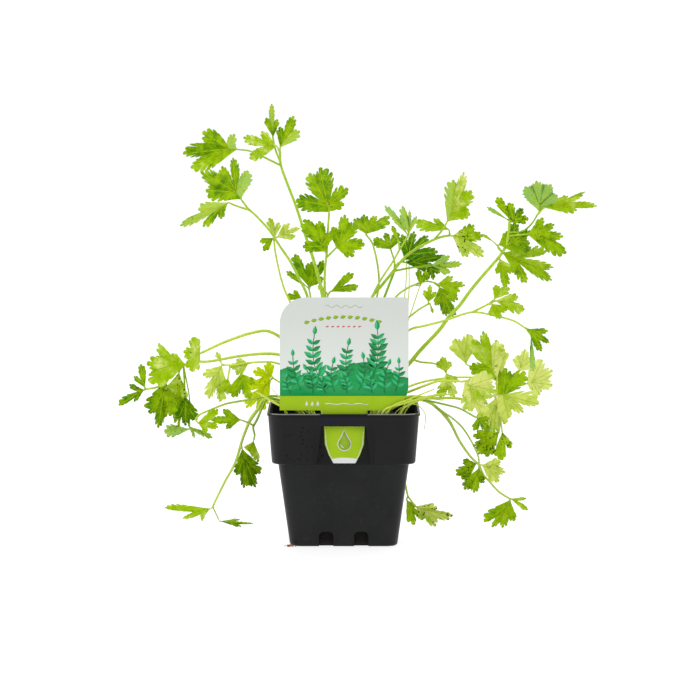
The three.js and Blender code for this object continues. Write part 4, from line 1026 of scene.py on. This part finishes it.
# Left side
frond("left_arch", FRESH, (-20, -8), (1.4, 0.8), [
    (-28, 110, -17), (-37, 129, -24), (-42, 135, -28), (-50, 139, -32), (-55, 139, -35),
    (-62, 137.5, -38), (-68.5, 135.5, -40.5), (-81.5, 130.5, -46), (-93, 125, -50.5),
], [
    Leaf((-95, 124, -50.5), [(-99.5, 135), (-106, 125.5), (-100.5, 112)], (0.5, 0.3), breadth=1.15,
         cuts=(0.35, 0.75), tone=0.75, pitch=7),
])
frond("left_droop", FRESH, (-20, 2), (1.3, 0.7), [
    (-30, 106, 5.5), (-38, 119, 8.5), (-42, 123, 10), (-52, 124, 11), (-68.5, 122.5, 14),
    (-88, 119, 18), (-103.5, 117.5, 22.5), (-114.5, 108.5, 25), (-123, 102, 28),
    (-131, 100.5, 29.5),
], [
    Leaf((-104.5, 117, 21), [(-114, 124), (-122.5, 131), (-130.5, 117), (-129.5, 106)], (0.2, 0.4),
         stalk=[(-102, 117.7, 22.5)], breadth=1.35, cuts=(0.8, 0.6, 0.8),
         tone=(0.62, 0.66, 0.62, 0.6), specks=0, pitch=14),
    Leaf((-109, 112, 24), [(-107.5, 92), (-109, 75.5), (-118.5, 82)], (0.3, -0.2),
         stalk=[(-107, 115.5, 24)], breadth=1.3, cuts=(0.75, 0.85), tone=(0.72, 0.6, 0.7),
         specks=0.9, pitch=14),
    Leaf((-118, 106, 26.5), [(-115, 82.5), (-123, 74.5), (-128.5, 84)], (0.2, 0.3),
         stalk=[(-116, 107.5, 26)], breadth=1.3, cuts=(0.8, 0.8), tone=(0.5, 0.3, 0.35),
         specks=0.6),
    Leaf((-105, 96, 31), [(-97.5, 79.5), (-105, 76), (-110, 81)], (0.3, 0.2),
         stalk=[(-106, 116, 24)], breadth=0.95, cuts=(0.75, 0.8), tone=(0.15, 0.3, 0.2),
         specks=0.9),
    Leaf((-103, 76, 35), [(-99, 68), (-87, 68)], (0.3, 0.3),
         stalk=[(-106, 116, 24), (-102, 92, 33.5)], breadth=0.5, tone=0.3, specks=0.6,
         flipped=True),
    Leaf((-102, 74, 35), [(-119, 72.5)], (0.2, 2), stalk=[(-102.5, 82, 35)], breadth=1.2, tone=0.3,
         specks=0.8, flipped=True),
    Leaf((-131.5, 101, 29.5), [(-134.5, 117), (-139, 109)], (0.3, 0.4), breadth=0.8, tone=0.35),
    Leaf((-132, 100, 29.5), [(-142, 103.5), (-149, 89.5), (-139, 92)], (0.3, 0.5), breadth=0.7,
         tone=0.25, specks=0.8),
])
frond("left_pale", PALE, (-21, -16), (0.9, 0.6), [
    (-30, 105, -28), (-38, 114, -32), (-42, 117, -35), (-48.5, 118.5, -38), (-62, 118, -42),
    (-73.5, 116.5, -46), (-79, 116.5, -47.5),
], [
    Leaf((-63, 117.5, -42), [(-71, 110), (-75, 115), (-71, 120)], (0.3, 0.5),
         stalk=[(-61, 118, -42)], breadth=1.2, cuts=(0.7, 0.7)),
    Leaf((-68, 111, -46), [(-73.5, 95), (-62, 94), (-59, 104)], (0.3, 0.3),
         stalk=[(-66, 117.3, -43.5)], breadth=1.2, tone=0.5),
    Leaf((-76.5, 108, -49), [(-82, 98), (-75.5, 98)], (0.4, 0.3), stalk=[(-75, 116.3, -46)],
         tone=0.6),
    Leaf((-80.5, 117, -47.5), [(-84, 125)], (0.3, 0.3), tone=0.9, specks=0, flipped=True),
    Leaf((-80.5, 116.5, -47.5), [(-93, 110), (-89, 94), (-82, 92)], (0.3, 0.3), tone=0.85, specks=0,
         flipped=True),
])
frond("left_yellow", PALE, (-22, 12), (0.8, 0.6), [
    (-30, 96, 22.5), (-39, 103, 26.5), (-44, 106, 28), (-47, 108, 28),
], [
    Leaf((-47.5, 109, 28), [(-50, 118), (-60, 112), (-56, 105)], (0.4, 0.4), breadth=1.5, tone=2.1,
         pitch=6),
    Leaf((-48, 107, 28), [(-66.5, 103), (-64.5, 88), (-57, 86)], (-0.2, -0.4), tone=2),
])
frond("left_low", LUSH, (-26, -12), (1, 0.6), [
    (-36, 93, -22.5), (-46, 96, -28), (-54, 95, -32), (-62, 93.5, -35), (-68.5, 92.5, -36.5),
    (-78.5, 90.5, -39), (-85, 88, -40.5), (-96, 83, -43.5), (-98, 80, -45),
], [
    Leaf((-96.5, 78, -45), [(-83, 87), (-83, 75), (-91, 71)], (-0.5, 0.5), breadth=0.7,
         cuts=(0.3, 0.6), tone=0.6),
])
frond("left_second", DEEP, (-28, -4), (1, 0.6), [
    (-37, 91, -7), (-45, 94, -8.5), (-50.5, 94, -10), (-54, 88, -11), (-57.5, 80, -12.5),
    (-60, 75, -12.5), (-59, 70, -12.5), (-59.5, 67, -12.5),
], [
    Leaf((-68, 80, -17), [(-80, 87), (-88, 80), (-78, 74)], (0.2, 0.4),
         stalk=[(-59.5, 76, -12.5), (-63, 78, -15.5)], breadth=0.7, cuts=(0.6, 0.6), tone=0.4),
    Leaf((-59.8, 66, -12.5), [(-66, 61.5), (-56.5, 52)], (0.3, 0.3), breadth=0.5, cuts=(0.9,),
         tone=0.6, pitch=8),
])
frond("floor_left", LUSH, (-27, 5), (1.3, 0.7), [
    (-37, 89.5, 8), (-45, 93, 11), (-52, 94, 14), (-57, 87, 18), (-62, 80, 22), (-65, 73, 25),
    (-67.5, 66, 28), (-72, 51.5, 36), (-78.5, 39.5, 43), (-85, 26.5, 52), (-87, 22, 56),
], [
    Leaf((-67.5, 61, 28), [(-71, 43), (-66.5, 34.5), (-58.5, 35), (-55.5, 44)], (0.3, 0.3),
         stalk=[(-68, 64, 29)], cuts=(0.75, 0.9, 0.85), tone=0.25),
    Leaf((-88, 21, 57), [(-119, 21.5), (-107, 14.5), (-94, 12.5)], (-0.6, -0.4), breadth=0.38,
         bend=0, cuts=(0.5, 0.5), turned=(2,), tone=0.6),
    Leaf((-82.5, 12.5, 54), [(-68, 9), (-60, 11), (-69, 13.5)], (0, 0.3), stalk=[(-87, 22, 56)],
         breadth=0.4, bend=0, cuts=(0.6, 0.6), turned=(2,), tone=0.3),
])

# ---- pot ----


def square_ring(half, corner, height):
    """Places round a square with round corners, closer together in the corners."""
    straight = half - corner
    side = [Vector((half, straight * (2 * i / SIDE_STEPS - 1), 0)) for i in range(SIDE_STEPS)]
    for i in range(CORNER_STEPS):
        turn = i / CORNER_STEPS * math.pi / 2
        side.append(Vector(
            (straight + corner * math.cos(turn), straight + corner * math.sin(turn), 0)))
    turns = [Matrix.Rotation(quarter * math.pi / 2, 3, "Z") for quarter in range(4)]
    places = [turned @ place + Vector((0, 0, height)) for turned in turns for place in side]
    return [*places, places[0]]


def square_shell(profile):
    """A closed skin over rounded squares given as (half width, corner radius, height)."""
    bm = bmesh.new()
    rings = [square_ring(*row) for row in profile]
    around, last = len(rings[0]) - 1, len(rings) - 1
    points = formed_grid(bm, around, last, lambda u, v: rings[round(v * last)][round(u * around)])
    welded(bm, points)
    bmesh.ops.recalc_face_normals(bm, faces=bm.faces)
    return bm


def rounded(rows, end, bulge, steps=4):
    """The profile's rows, led on from the last of them to the given one by a quarter arc."""
    start = rows[-1]
    arc = []
    for i in range(1, steps + 1):
        turn = i / steps * math.pi / 2
        first, second = math.sin(turn), 1 - math.cos(turn)
        width, height = (first, second) if bulge == "out" else (second, first)
        shares = (width, width, height)
        arc.append(tuple(a + (b - a) * share for a, b, share in zip(start, end, shares)))
    return rows + arc


def pot_profile():
    """The pot's rows, from the middle of its underside up outside and down again inside."""
    rows = [(0, 0, 0), (BASE_HALF - BASE_EDGE, BASE_CORNER - BASE_EDGE, 0)]
    rows = rounded(rows, (BASE_HALF, BASE_CORNER, BASE_EDGE), "out")
    rows += [
        (BODY_TOP_HALF - 0.1, BODY_TOP_CORNER - 0.1, COLLAR_BOTTOM - 0.4),
        (BODY_TOP_HALF + 0.2, BODY_TOP_CORNER, COLLAR_BOTTOM),
        (COLLAR_HALF - 1.5, COLLAR_CORNER - 1.5, COLLAR_BOTTOM),
    ]
    rows = rounded(rows, (COLLAR_HALF, COLLAR_CORNER, COLLAR_BOTTOM + 1.6), "out")
    rows.append((RIM_HALF - 0.7, RIM_CORNER - 0.7, POT_HEIGHT - LIP_HEIGHT))
    rows = rounded(rows, (RIM_HALF, RIM_CORNER, POT_HEIGHT - 1.8), "in", 3)
    rows.append((RIM_HALF, RIM_CORNER, POT_HEIGHT - 0.5))
    rows = rounded(rows, (RIM_HALF - 0.5, RIM_CORNER - 0.5, POT_HEIGHT), "in", 3)
    inner_foot, inner_corner = BASE_HALF - WALL, BASE_CORNER - WALL
    return rows + [
        (RIM_HALF - WALL, RIM_CORNER - WALL, POT_HEIGHT),
        (RIM_HALF - WALL - 0.4, RIM_CORNER - WALL - 0.4, POT_HEIGHT - LIP_HEIGHT),
        (COLLAR_HALF - WALL, COLLAR_CORNER - WALL, COLLAR_BOTTOM + WALL + 0.6),
        (BODY_TOP_HALF - WALL, BODY_TOP_CORNER - WALL, COLLAR_BOTTOM + WALL),
        (inner_foot, inner_corner, 3.6),
        (inner_foot - 1.8, inner_corner - 1.8, FLOOR_THICKNESS),
        (0, 0, FLOOR_THICKNESS),
    ]


def add_slab(bm, outline, y0, y1, material=0):
    """A slab with the given outline, across and up, between y0 in front and y1 behind."""
    points = [bm.verts.new((x, y0, z)) for x, z in outline]
    rim = [bm.edges.new(pair) for pair in zip(points, points[1:] + points[:1])]
    front = bmesh.ops.contextual_create(bm, geom=rim)["faces"]
    swept = bmesh.ops.extrude_face_region(bm, geom=front, use_keep_orig=True)["geom"]
    moved = [part for part in swept if isinstance(part, bmesh.types.BMVert)]
    bmesh.ops.translate(bm, verts=moved, vec=(0, y1 - y0, 0))
    bmesh.ops.recalc_face_normals(bm, faces=list(faces_of(points + moved)))
    finish_faces(points + moved, material)


def slab(outline, y0, y1):
    bm = bmesh.new()
    add_slab(bm, outline, y0, y1)
    return bm


def block(x0, x1, y0, y1, z0, z1):
    return slab([(x0, z0), (x1, z0), (x1, z1), (x0, z1)], y0, y1)


def carved(bm, cutters, joined=()):
    """The body with further blocks joined on and the cutters taken out."""
    body = loose_object("body", bm)
    helpers = []
    for operation, blocks in (("UNION", joined), ("DIFFERENCE", cutters)):
        for part in blocks:
            helper = loose_object("helper", part)
            modifier = body.modifiers.new("cut", "BOOLEAN")
            modifier.operation = operation
            modifier.solver = "EXACT"
            modifier.object = helper
            helpers.append(helper)
    result = bmesh.new()
    result.from_object(body, bpy.context.evaluated_depsgraph_get())
    for used in (body, *helpers):
        bpy.data.objects.remove(used)
    return result


def arc_points(centre, radius, start, end, steps):
    turns = [math.radians(start + (end - start) * i / steps) for i in range(steps + 1)]
    return [(centre[0] + radius * math.cos(t), centre[1] + radius * math.sin(t)) for t in turns]


def drain_notch(offset, quarter):
    """The cutter for an arched notch in one of the four walls."""
    outline = [(offset - NOTCH_HALF_WIDTH, -1), (offset + NOTCH_HALF_WIDTH, -1)]
    for side, start in ((1, 0), (-1, 90)):
        centre = (offset + side * (NOTCH_HALF_WIDTH - NOTCH_CORNER), NOTCH_HEIGHT - NOTCH_CORNER)
        outline += arc_points(centre, NOTCH_CORNER, start, start + 90, 8)
    cutter = slab(outline, -BASE_HALF - 3, -BASE_HALF + NOTCH_DEPTH)
    turned = Matrix.Rotation(quarter * math.pi / 2, 3, "Z")
    bmesh.ops.rotate(cutter, verts=cutter.verts, matrix=turned)
    return cutter


def holder_window():
    """The cutter for the window below the strap, which flares out at its foot."""
    shoulder = COLLAR_BOTTOM - 0.6 + WINDOW_FLARE
    flare = (-WINDOW_FOOT_HALF - WINDOW_FLARE, shoulder)
    outline = [(-WINDOW_TOP_HALF, STRAP_BOTTOM), (-WINDOW_FOOT_HALF + 0.2, shoulder)]
    outline += arc_points(flare, WINDOW_FLARE, 0, -80, 6)[1:]
    outline += [(-x, z) for x, z in reversed(outline)]
    return slab(outline, -RIM_HALF - 2, HOLDER_BACK)


def pot():
    holder = block(
        -HOLDER_HALF, HOLDER_HALF, STRAP_INSIDE - 0.6, HOLDER_INSIDE, COLLAR_BOTTOM + 0.1,
        POT_HEIGHT - 0.6)
    slot = block(
        -SLOT_HALF, SLOT_HALF, STRAP_INSIDE, HOLDER_BACK, STRAP_BOTTOM - 1, POT_HEIGHT + 1)
    notches = [drain_notch(offset, quarter) for offset in (-NOTCH_OFFSET, NOTCH_OFFSET)
               for quarter in range(4)]
    bm = carved(square_shell(pot_profile()), [holder_window(), slot, *notches], [holder])
    bm.normal_update()
    # Faces that look into the pot get a darker copy of the plastic: painted shade inside the pot.
    for face in bm.faces:
        centre = face.calc_center_median().xy
        face.material_index = int(face.normal.xy.dot(centre) < -0.3 * centre.length)
    inner = mottled_finish("pot_inner_painted_shade", 0x020202, 0x0a0908, patch=3, detail=3,
                           roughness=0.6, unevenness=0.2, specular=0.08)
    piece = set_down("nursery_pot", bm, [pot_finish(), inner], 32)
    edges = piece.modifiers.new("moulded edges", "BEVEL")
    edges.width = MOULDED_EDGE * MILLIMETRE
    edges.segments = 2
    edges.limit_method = "ANGLE"
    edges.angle_limit = math.radians(40)
    edges.harden_normals = True
    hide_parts("pot")


# ---- label ----


def label_outline():
    outline = [(PANEL_LEFT, PANEL_BOTTOM), (NECK_MIDDLE - NECK_HALF, PANEL_BOTTOM)]
    outline += [(NECK_MIDDLE - reach, height) for reach, height in TONGUE]
    outline += [(NECK_MIDDLE + reach, height) for reach, height in reversed(TONGUE)]
    outline.append((NECK_MIDDLE + NECK_HALF, PANEL_BOTTOM))
    for x, z, radius, start in (
        (PANEL_RIGHT, PANEL_BOTTOM, CORNER_BOTTOM_RIGHT, -90),
        (PANEL_RIGHT, PANEL_TOP, CORNER_TOP_RIGHT, 0),
        (PANEL_LEFT, PANEL_TOP, CORNER_TOP_LEFT, 90),
    ):
        inward = math.radians(start + 225)
        reach = radius * math.sqrt(2)
        centre = (x + reach * math.cos(inward), z + reach * math.sin(inward))
        outline += arc_points(centre, radius, start, start + 90, 10)
    return outline


def label():
    bm = slab(label_outline(), LABEL_BACK - LABEL_THICKNESS, LABEL_BACK)
    piece = set_down("plant_label", bm, [label_finish()], 30)
    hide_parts("label")


def pointed_oval(foot, tip, breadth, sides=(1, -1)):
    """A leaf shape from foot to tip, or only its left or right half."""
    foot, tip = Vector(foot), Vector(tip)
    across = side_of(tip - foot) * breadth / 2
    shares = [i / 8 for i in range(9)]
    outline = []
    for side in sides:
        for share in shares[::side]:
            swell = math.sin(math.pi * share ** 0.8)
            outline.append(tuple(foot.lerp(tip, share) + across * side * swell))
    return list(dict.fromkeys(outline))


def ribbon(points, width):
    """A strip along a line, as an outline."""
    line = [Vector(point) for point in points]
    left, right = [], []
    for i, point in enumerate(line):
        ahead = line[min(i + 1, len(line) - 1)] - line[max(i - 1, 0)]
        edge = side_of(ahead).normalized() * width / 2
        left.append(tuple(point + edge))
        right.append(tuple(point - edge))
    return left + right[::-1]


def water_drop(centre, radius, height):
    """A drop: a round foot that runs up to a point."""
    x, z = centre
    aside, shoulder = radius * 0.42, z + height * 0.55
    neck = [(x + aside, shoulder), (x, z + height), (x - aside, shoulder)]
    return arc_points(centre, radius, 150, 390, 20) + neck


INKS = {
    "lime": 0x86a810, "emerald": 0x009448, "mint": 0x30b577, "pine": 0x00713a,
    "coral": 0xc8504a, "white": 0xdadada, "moss": 0xa9b58a,
}


class Print:
    """Ink on the front of the label, each new shape a little prouder than the last."""

    def __init__(self):
        self.bm = bmesh.new()
        self.layers = 1

    def shape(self, outline, ink, layer=None):
        front = LABEL_BACK - LABEL_THICKNESS
        proud = INK_STEP * (layer or self.layers)
        add_slab(self.bm, outline, front - proud, front + 0.02, list(INKS).index(ink))

    def two_tone_leaf(self, foot, tip, breadth, left_ink, right_ink):
        self.shape(pointed_oval(foot, tip, breadth, (1,)), left_ink)
        self.shape(pointed_oval(foot, tip, breadth, (-1,)), right_ink)

    def sprig(self, foot, tip, bow, pairs, size, chance):
        """A bowed stalk with pairs of pointed oval leaves that grow smaller to its tip."""
        foot, tip = Vector(foot), Vector(tip)
        aside = side_of(tip - foot) * bow

        def on_stalk(share):
            return foot.lerp(tip, share) + aside * math.sin(math.pi * share)

        self.layers += 1
        self.shape(ribbon([on_stalk(i / 12) for i in range(13)], 0.55), "pine")
        self.layers += 1
        for pair in range(pairs):
            share = 0.2 + 0.75 * pair / pairs
            start = on_stalk(share)
            ahead = (on_stalk(min(1, share + 0.1)) - start).normalized()
            length = size * (1 - 0.5 * share) * chance.uniform(0.85, 1.1)
            for side in (-1, 1):
                heading = (ahead * 0.75 + side_of(ahead) * side).normalized()
                inks = ("emerald", "mint") if chance.random() < 0.6 else ("pine", "emerald")
                self.two_tone_leaf(start, start + heading * length, 0.46, *inks)
        end = on_stalk(1)
        ahead = (end - on_stalk(0.9)).normalized()
        self.two_tone_leaf(end, end + ahead * size * 0.62, 0.5, "mint", "emerald")


# The green hill's top from left to right, and the sprigs on it: foot, tip, bow to one side, pairs
# of leaves and the leaves' length, from the tallest to the smallest
HILL = [(-41.4, 117), (-36, 118.5), (-28, 114), (-17, 112), (-6, 116), (6, 121), (18, 122),
        (28, 118), (36, 113), (PANEL_RIGHT - MARGIN, 112)]
SPRIGS = (
    ((18, 108), (22, 143), -0.06, 7, 11), ((-13, 106), (-19, 140), 0.1, 6, 9.5),
    ((4, 108), (3, 133), 0.08, 5, 8.5), ((-28, 104), (-33, 126), 0.06, 4, 7.5),
    ((34, 103), (36, 121), -0.05, 4, 7), ((10, 104), (13, 124), -0.1, 4, 8),
    ((-6, 103), (-7, 121), 0.1, 4, 8), ((27, 102), (29, 120), 0.08, 4, 7.5),
    ((-20, 102), (-24, 117), -0.08, 4, 7.5), ((-35, 102), (-37, 112), 0.1, 3, 6),
    ((2, 102), (0, 112), -0.1, 3, 7), ((19, 102), (18, 113), 0.1, 3, 7),
    ((-12, 102), (-14, 110), 0.1, 3, 6.5),
)


def label_print():
    chance = random.Random("label print")
    art = Print()
    corner = arc_points(
        (PANEL_RIGHT - CORNER_BOTTOM_RIGHT, PANEL_BOTTOM + CORNER_BOTTOM_RIGHT),
        CORNER_BOTTOM_RIGHT - MARGIN, -24.3, 0, 5)
    skyline = smooth_path([Vector((x, z, 0)) for x, z in HILL], 1.5)
    left_foot = (PANEL_LEFT + MARGIN, BAND_TOP)
    art.shape([left_foot, *corner, *((p.x, p.y) for p in reversed(skyline))], "emerald")
    for sprig in SPRIGS:
        art.sprig(*sprig, chance)

    # Above them a bowed row of green leaves, a straight row of coral ones and a wavy line
    for x in (-24 + 4.7 * i for i in range(11)):
        z = 151.5 - 0.006 * x ** 2
        art.shape(pointed_oval((x - 1.7, z - 0.4), (x + 2.1, z + 0.5), 0.62), "lime", 2)
    for x in (-10.5 + 3.5 * i for i in range(7)):
        art.shape(pointed_oval((x - 1.1, 145), (x + 1.1, 145.6), 0.45), "coral", 2)
    wave = [(-12 + i, 158.4 + 0.9 * math.sin(i * 1.05)) for i in range(25)]
    art.shape(ribbon(wave, 0.45), "moss", 2)

    # On the band three drops and a ripple
    for x in (-24, -20.4, -16.8):
        art.shape(water_drop((x, 94.3), 0.95, 2.5), "white", 2)
    ripple = [(-12 + 2 * i, 94.8 + 0.35 * math.sin(i * 1.3)) for i in range(15)]
    art.shape(ribbon(ripple, 0.5), "white", 2)

    # On the tongue a line along each edge, and one outlined drop with a glint
    for side in (-1, 1):
        edge = [(NECK_MIDDLE + side * (reach - 0.75), height) for reach, height in TONGUE]
        edge[-1] = (NECK_MIDDLE + side * (TONGUE[-1][0] - 0.3), TONGUE[-1][1] + 0.6)
        art.shape(ribbon(edge, 0.35), "white", 2)
    middle = (NECK_MIDDLE, 68.6)
    art.shape(water_drop(middle, 4.6, 10), "white", 2)
    art.shape(water_drop(middle, 4.05, 8.7), "lime", 4)
    art.shape(ribbon(arc_points(middle, 2.4, 190, 260, 8), 0.5), "white", 6)
    set_down("label_print", art.bm, [ink_finish("ink_" + ink, INKS[ink]) for ink in INKS])


# ---- soil ----


def soil_height(x, y):
    lump = 0.9 * math.sin(0.21 * x + 1) * math.cos(0.17 * y) + 0.5 * math.sin(0.43 * y + 0.3 * x)
    spot = Vector((x, y, 0))
    rough = 1.3 * noise.noise(spot * 0.28) + 0.7 * noise.noise(spot * 0.8)
    return SOIL_TOP - 0.6 + lump + (rough + 0.3 * noise.noise(spot * 2))


def soil():
    """The potting mix, a little clear of the pot's walls, with a rough top."""
    foot = BASE_HALF - WALL - 0.6
    waist = BODY_TOP_HALF - WALL - 0.4
    top = COLLAR_HALF + (RIM_HALF - 0.5 - COLLAR_HALF) * 0.75 - WALL - 0.5
    profile = [
        (0, 0, FLOOR_THICKNESS + 0.3), (foot - 2, BASE_CORNER - 4, FLOOR_THICKNESS + 0.3),
        (foot, BASE_CORNER - 2, 4.2), (waist - 0.2, BASE_CORNER, COLLAR_BOTTOM + WALL + 0.2),
        (waist, BASE_CORNER, COLLAR_BOTTOM + WALL + 2.2),
        (COLLAR_HALF - WALL - 0.6, SOIL_CORNER, COLLAR_BOTTOM + 5),
        (top, SOIL_CORNER, SOIL_TOP - 3),
    ]
    rings = 34
    for share in (1 - i / rings for i in range(rings + 1)):
        profile.append((top * share, SOIL_CORNER * share, SOIL_TOP))
    body = square_shell(profile)
    for point in body.verts:
        if point.co.z > SOIL_TOP - 0.1:
            point.co.z = soil_height(point.co.x, point.co.y)
    holder = block(-HOLDER_HALF - 0.3, HOLDER_HALF + 0.3, -RIM_HALF, HOLDER_INSIDE + 0.3,
                   COLLAR_BOTTOM - 2, POT_HEIGHT)
    piece = set_down("potting_soil", carved(body, [holder]), [soil_finish()], None)
    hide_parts("soil")


# ---- crumbs, specks and trailing stems ----


def add_lump(bm, centre, stretch, radius=1, roughness=0.0, number=0):
    """A small ball, roughened and stretched, in its place."""
    lump = bmesh.ops.create_icosphere(bm, subdivisions=2, radius=radius)["verts"]
    if roughness:
        for point in lump:
            point.co *= 1 + roughness * noise.noise(point.co * 1.7 + Vector(centre))
    bmesh.ops.transform(bm, verts=lump, matrix=Matrix.Translation(centre) @ stretch.to_4x4())
    finish_faces(lump, number)


def add_crumb(bm, centre, size, flatness, chance, number=0):
    turn = Matrix.Rotation(chance.uniform(0, math.tau), 3, "Z")
    stretch = Matrix.Diagonal((size * chance.uniform(0.8, 1.4), size, size * flatness))
    add_lump(bm, centre, turn @ stretch, 1, 0.22, number)


def crumbs():
    """Bark and soil crumbs on the soil, and a few beside the pot's foot."""
    chance = random.Random("crumbs")
    bm = bmesh.new()
    for _ in range(CRUMB_COUNT):
        x, y = chance.uniform(-44, 44), chance.uniform(-40, 44)
        size = chance.choice((0.7, 0.9, 1.2, 1.7))
        kind = chance.choice((0, 0, 1))
        add_crumb(bm, (x, y, soil_height(x, y) + size * 0.2), size, 0.6, chance, kind)
    bark = crumb_finish("bark_chip", 0x4a3320, 0x8a6642)
    set_down("soil_crumbs", bm, [crumb_finish("soil_crumb", 0x130d0a, 0x3a2a1e), bark])
    bm = bmesh.new()
    for x, y, size in ((-35.2, -37, 1.1), (-36.6, -35.2, 0.9), (-33.4, -37.6, 0.8),
                       (-36.2, -38.6, 0.6), (-38.4, -34, 0.5), (-31.4, -37, 0.4)):
        add_crumb(bm, (x, y, size * 0.86), size, 0.7, chance)
    set_down("fallen_crumbs", bm, [crumb_finish("fallen_crumb", 0x6d3d12, 0xc48a4c)])


def specks():
    """Damp dark specks on the left of the collar."""
    chance = random.Random("drops")
    bm = bmesh.new()
    for _ in range(SPECK_COUNT):
        height = 57.5 + 22 * chance.random() ** 1.7
        across = chance.gauss(-27, 6)
        front = COLLAR_HALF + (RIM_HALF - 0.7 - COLLAR_HALF) * (height - 56.6) / 29.5
        radius = chance.uniform(0.35, 0.8)
        flat = Matrix.Diagonal((chance.uniform(0.8, 1.5), 0.12, chance.uniform(0.8, 1.2)))
        add_lump(bm, (across, -front, height), flat, radius)
    damp = mottled_finish("damp_speck", 0x040404, 0x0c0b0a, patch=1, detail=2, roughness=0.3,
                          unevenness=0.2, specular=0.14)
    set_down("damp_specks", bm, [damp])


# Root in the soil, radius and route
STRAYS = (
    ((34, -30), 0.5, [(42, 91.5, -33), (52, 94, -34), (66, 93, -32)]),
    ((30, -34), 0.45, [(38, 88, -37), (48, 90.2, -38), (54, 84, -36), (53.5, 74, -33)]),
    ((22, -36), 0.55, [(34, 88.6, -39), (47, 92, -39), (58, 95, -36)]),
    ((38, -22), 0.6, [(45, 91, -22), (56, 95, -20), (70, 97, -16)]),
    ((-24, -36), 0.5, [(-33, 88.8, -38), (-42, 95, -36), (-48, 101, -32)]),
    ((-36, -40), 1.15, [(-39.5, 87.5, -43), (-45, 91, -43), (-51, 94.5, -42), (-58, 98.5, -38)]),
    ((24, -44), 0.85, [(27, 86.5, -46.6), (40, 91, -46.6), (55, 95.5, -44), (68, 98, -40)]),
    ((27, -44), 0.8, [(31, 88, -46.6), (44, 94, -46.6), (60, 100.5, -42)]),
    ((36, -42), 0.8, [(40, 88, -44), (48, 92, -44), (58, 96, -42), (72, 97, -36)]),
    ((-14, -37), 0.45, [(-24, 85, -39), (-36, 90.6, -40), (-44, 96, -36)]),
    ((15, 22), 0.6, [(27, 118, 42), (36, 145, 56), (40.5, 165, 62), (41.5, 186, 64)]),
    ((18, 22), 0.55, [(32, 118, 42), (41, 145, 57), (43, 165, 63), (43, 186, 66)]),
    ((21, 20), 0.6, [(33, 118, 38), (44, 150, 54), (50, 168, 60), (56, 184, 64)]),
)


def stray_stems():
    """Thin leafless stems: most trail over the rim, and three stand behind the label."""
    bm = bmesh.new()
    bm.loops.layers.uv.new("veins")
    tone_layer = bm.verts.layers.float.new("tone")
    for (x, y), radius, route in STRAYS:
        foot = [Vector((x, y, SOIL_TOP - 6)), Vector((x, y, SOIL_TOP + 1))]
        path = smooth_path([*foot, *(in_space(*place) for place in route)], RING_SPACING)
        radii = [radius * (1 - 0.5 * i / len(path)) for i in range(len(path))]
        for point in tube(bm, path, radii, 8):
            point[tone_layer] = 0.9
    set_down("stray_stems", bm, [stem_green])


# ---- floor, light and camera ----


def studio_floor():
    bm = bmesh.new()
    bmesh.ops.create_grid(bm, x_segments=1, y_segments=1, size=6)
    floor = loose_object("studio_floor", bm)
    paper = Finish("studio_floor_white")
    floor.data.materials.append(paper.done(paper.surface(
        Base_Color=linear(0x8c8c8c), Roughness=0.5, Specular_IOR_Level=0.2,
        Emission_Color=linear(0xffffff), Emission_Strength=0.76)))


def studio_light():
    """White all round, brighter from the sides and dimmer from the front, and two softboxes."""
    sky = Finish("studio_white", bpy.data.worlds)
    across, away, _ = sky.axes(sky.node("ShaderNodeTexCoord", {}, {}, "Generated"))
    strength = 1.03 + sky.ease(abs(across), 0.45, 0.95) * 0.4 - sky.ease(away, -0.1, -0.95) * 0.5
    white = sky.node("ShaderNodeBackground", {}, {"Color": linear(0xffffff), "Strength": strength})
    bpy.context.scene.world = sky.done(white, "ShaderNodeOutputWorld")
    for name, energy, size, place in (
        ("key_softbox", 10, 0.9, (-0.8, -1.3, 1.4)),
        ("back_softbox", 14, 1.4, (0.3, 1.2, 1.5)),
    ):
        light = bpy.data.lights.new(name, "AREA")
        light.energy = energy
        light.size = size
        lamp = bpy.data.objects.new(name, light)
        lamp.location = place
        aim = Vector((0, 0, 0.13)) - lamp.location
        lamp.rotation_euler = aim.to_track_quat("-Z", "Y").to_euler()
        bpy.context.scene.collection.objects.link(lamp)


def photo_camera():
    scene = bpy.context.scene
    scene.view_settings.view_transform = "Standard"
    camera = bpy.data.cameras.new("photo_camera")
    camera.sensor_width = SENSOR_WIDTH
    camera.lens = SENSOR_WIDTH * FOCAL_PIXELS / PICTURE_PIXELS
    camera.clip_start = 0.1
    camera.clip_end = 30
    eye = bpy.data.objects.new("photo_camera", camera)
    eye.location = Vector((EYE_SIDE, -EYE_DISTANCE, EYE_HEIGHT)) * MILLIMETRE
    eye.rotation_euler = (math.pi / 2 - EYE_PITCH, 0, 0)
    scene.collection.objects.link(eye)
    scene.camera = eye


for make in (pot, soil, crumbs, specks, stray_stems, label, label_print, studio_floor,
             studio_light, photo_camera):
    make()
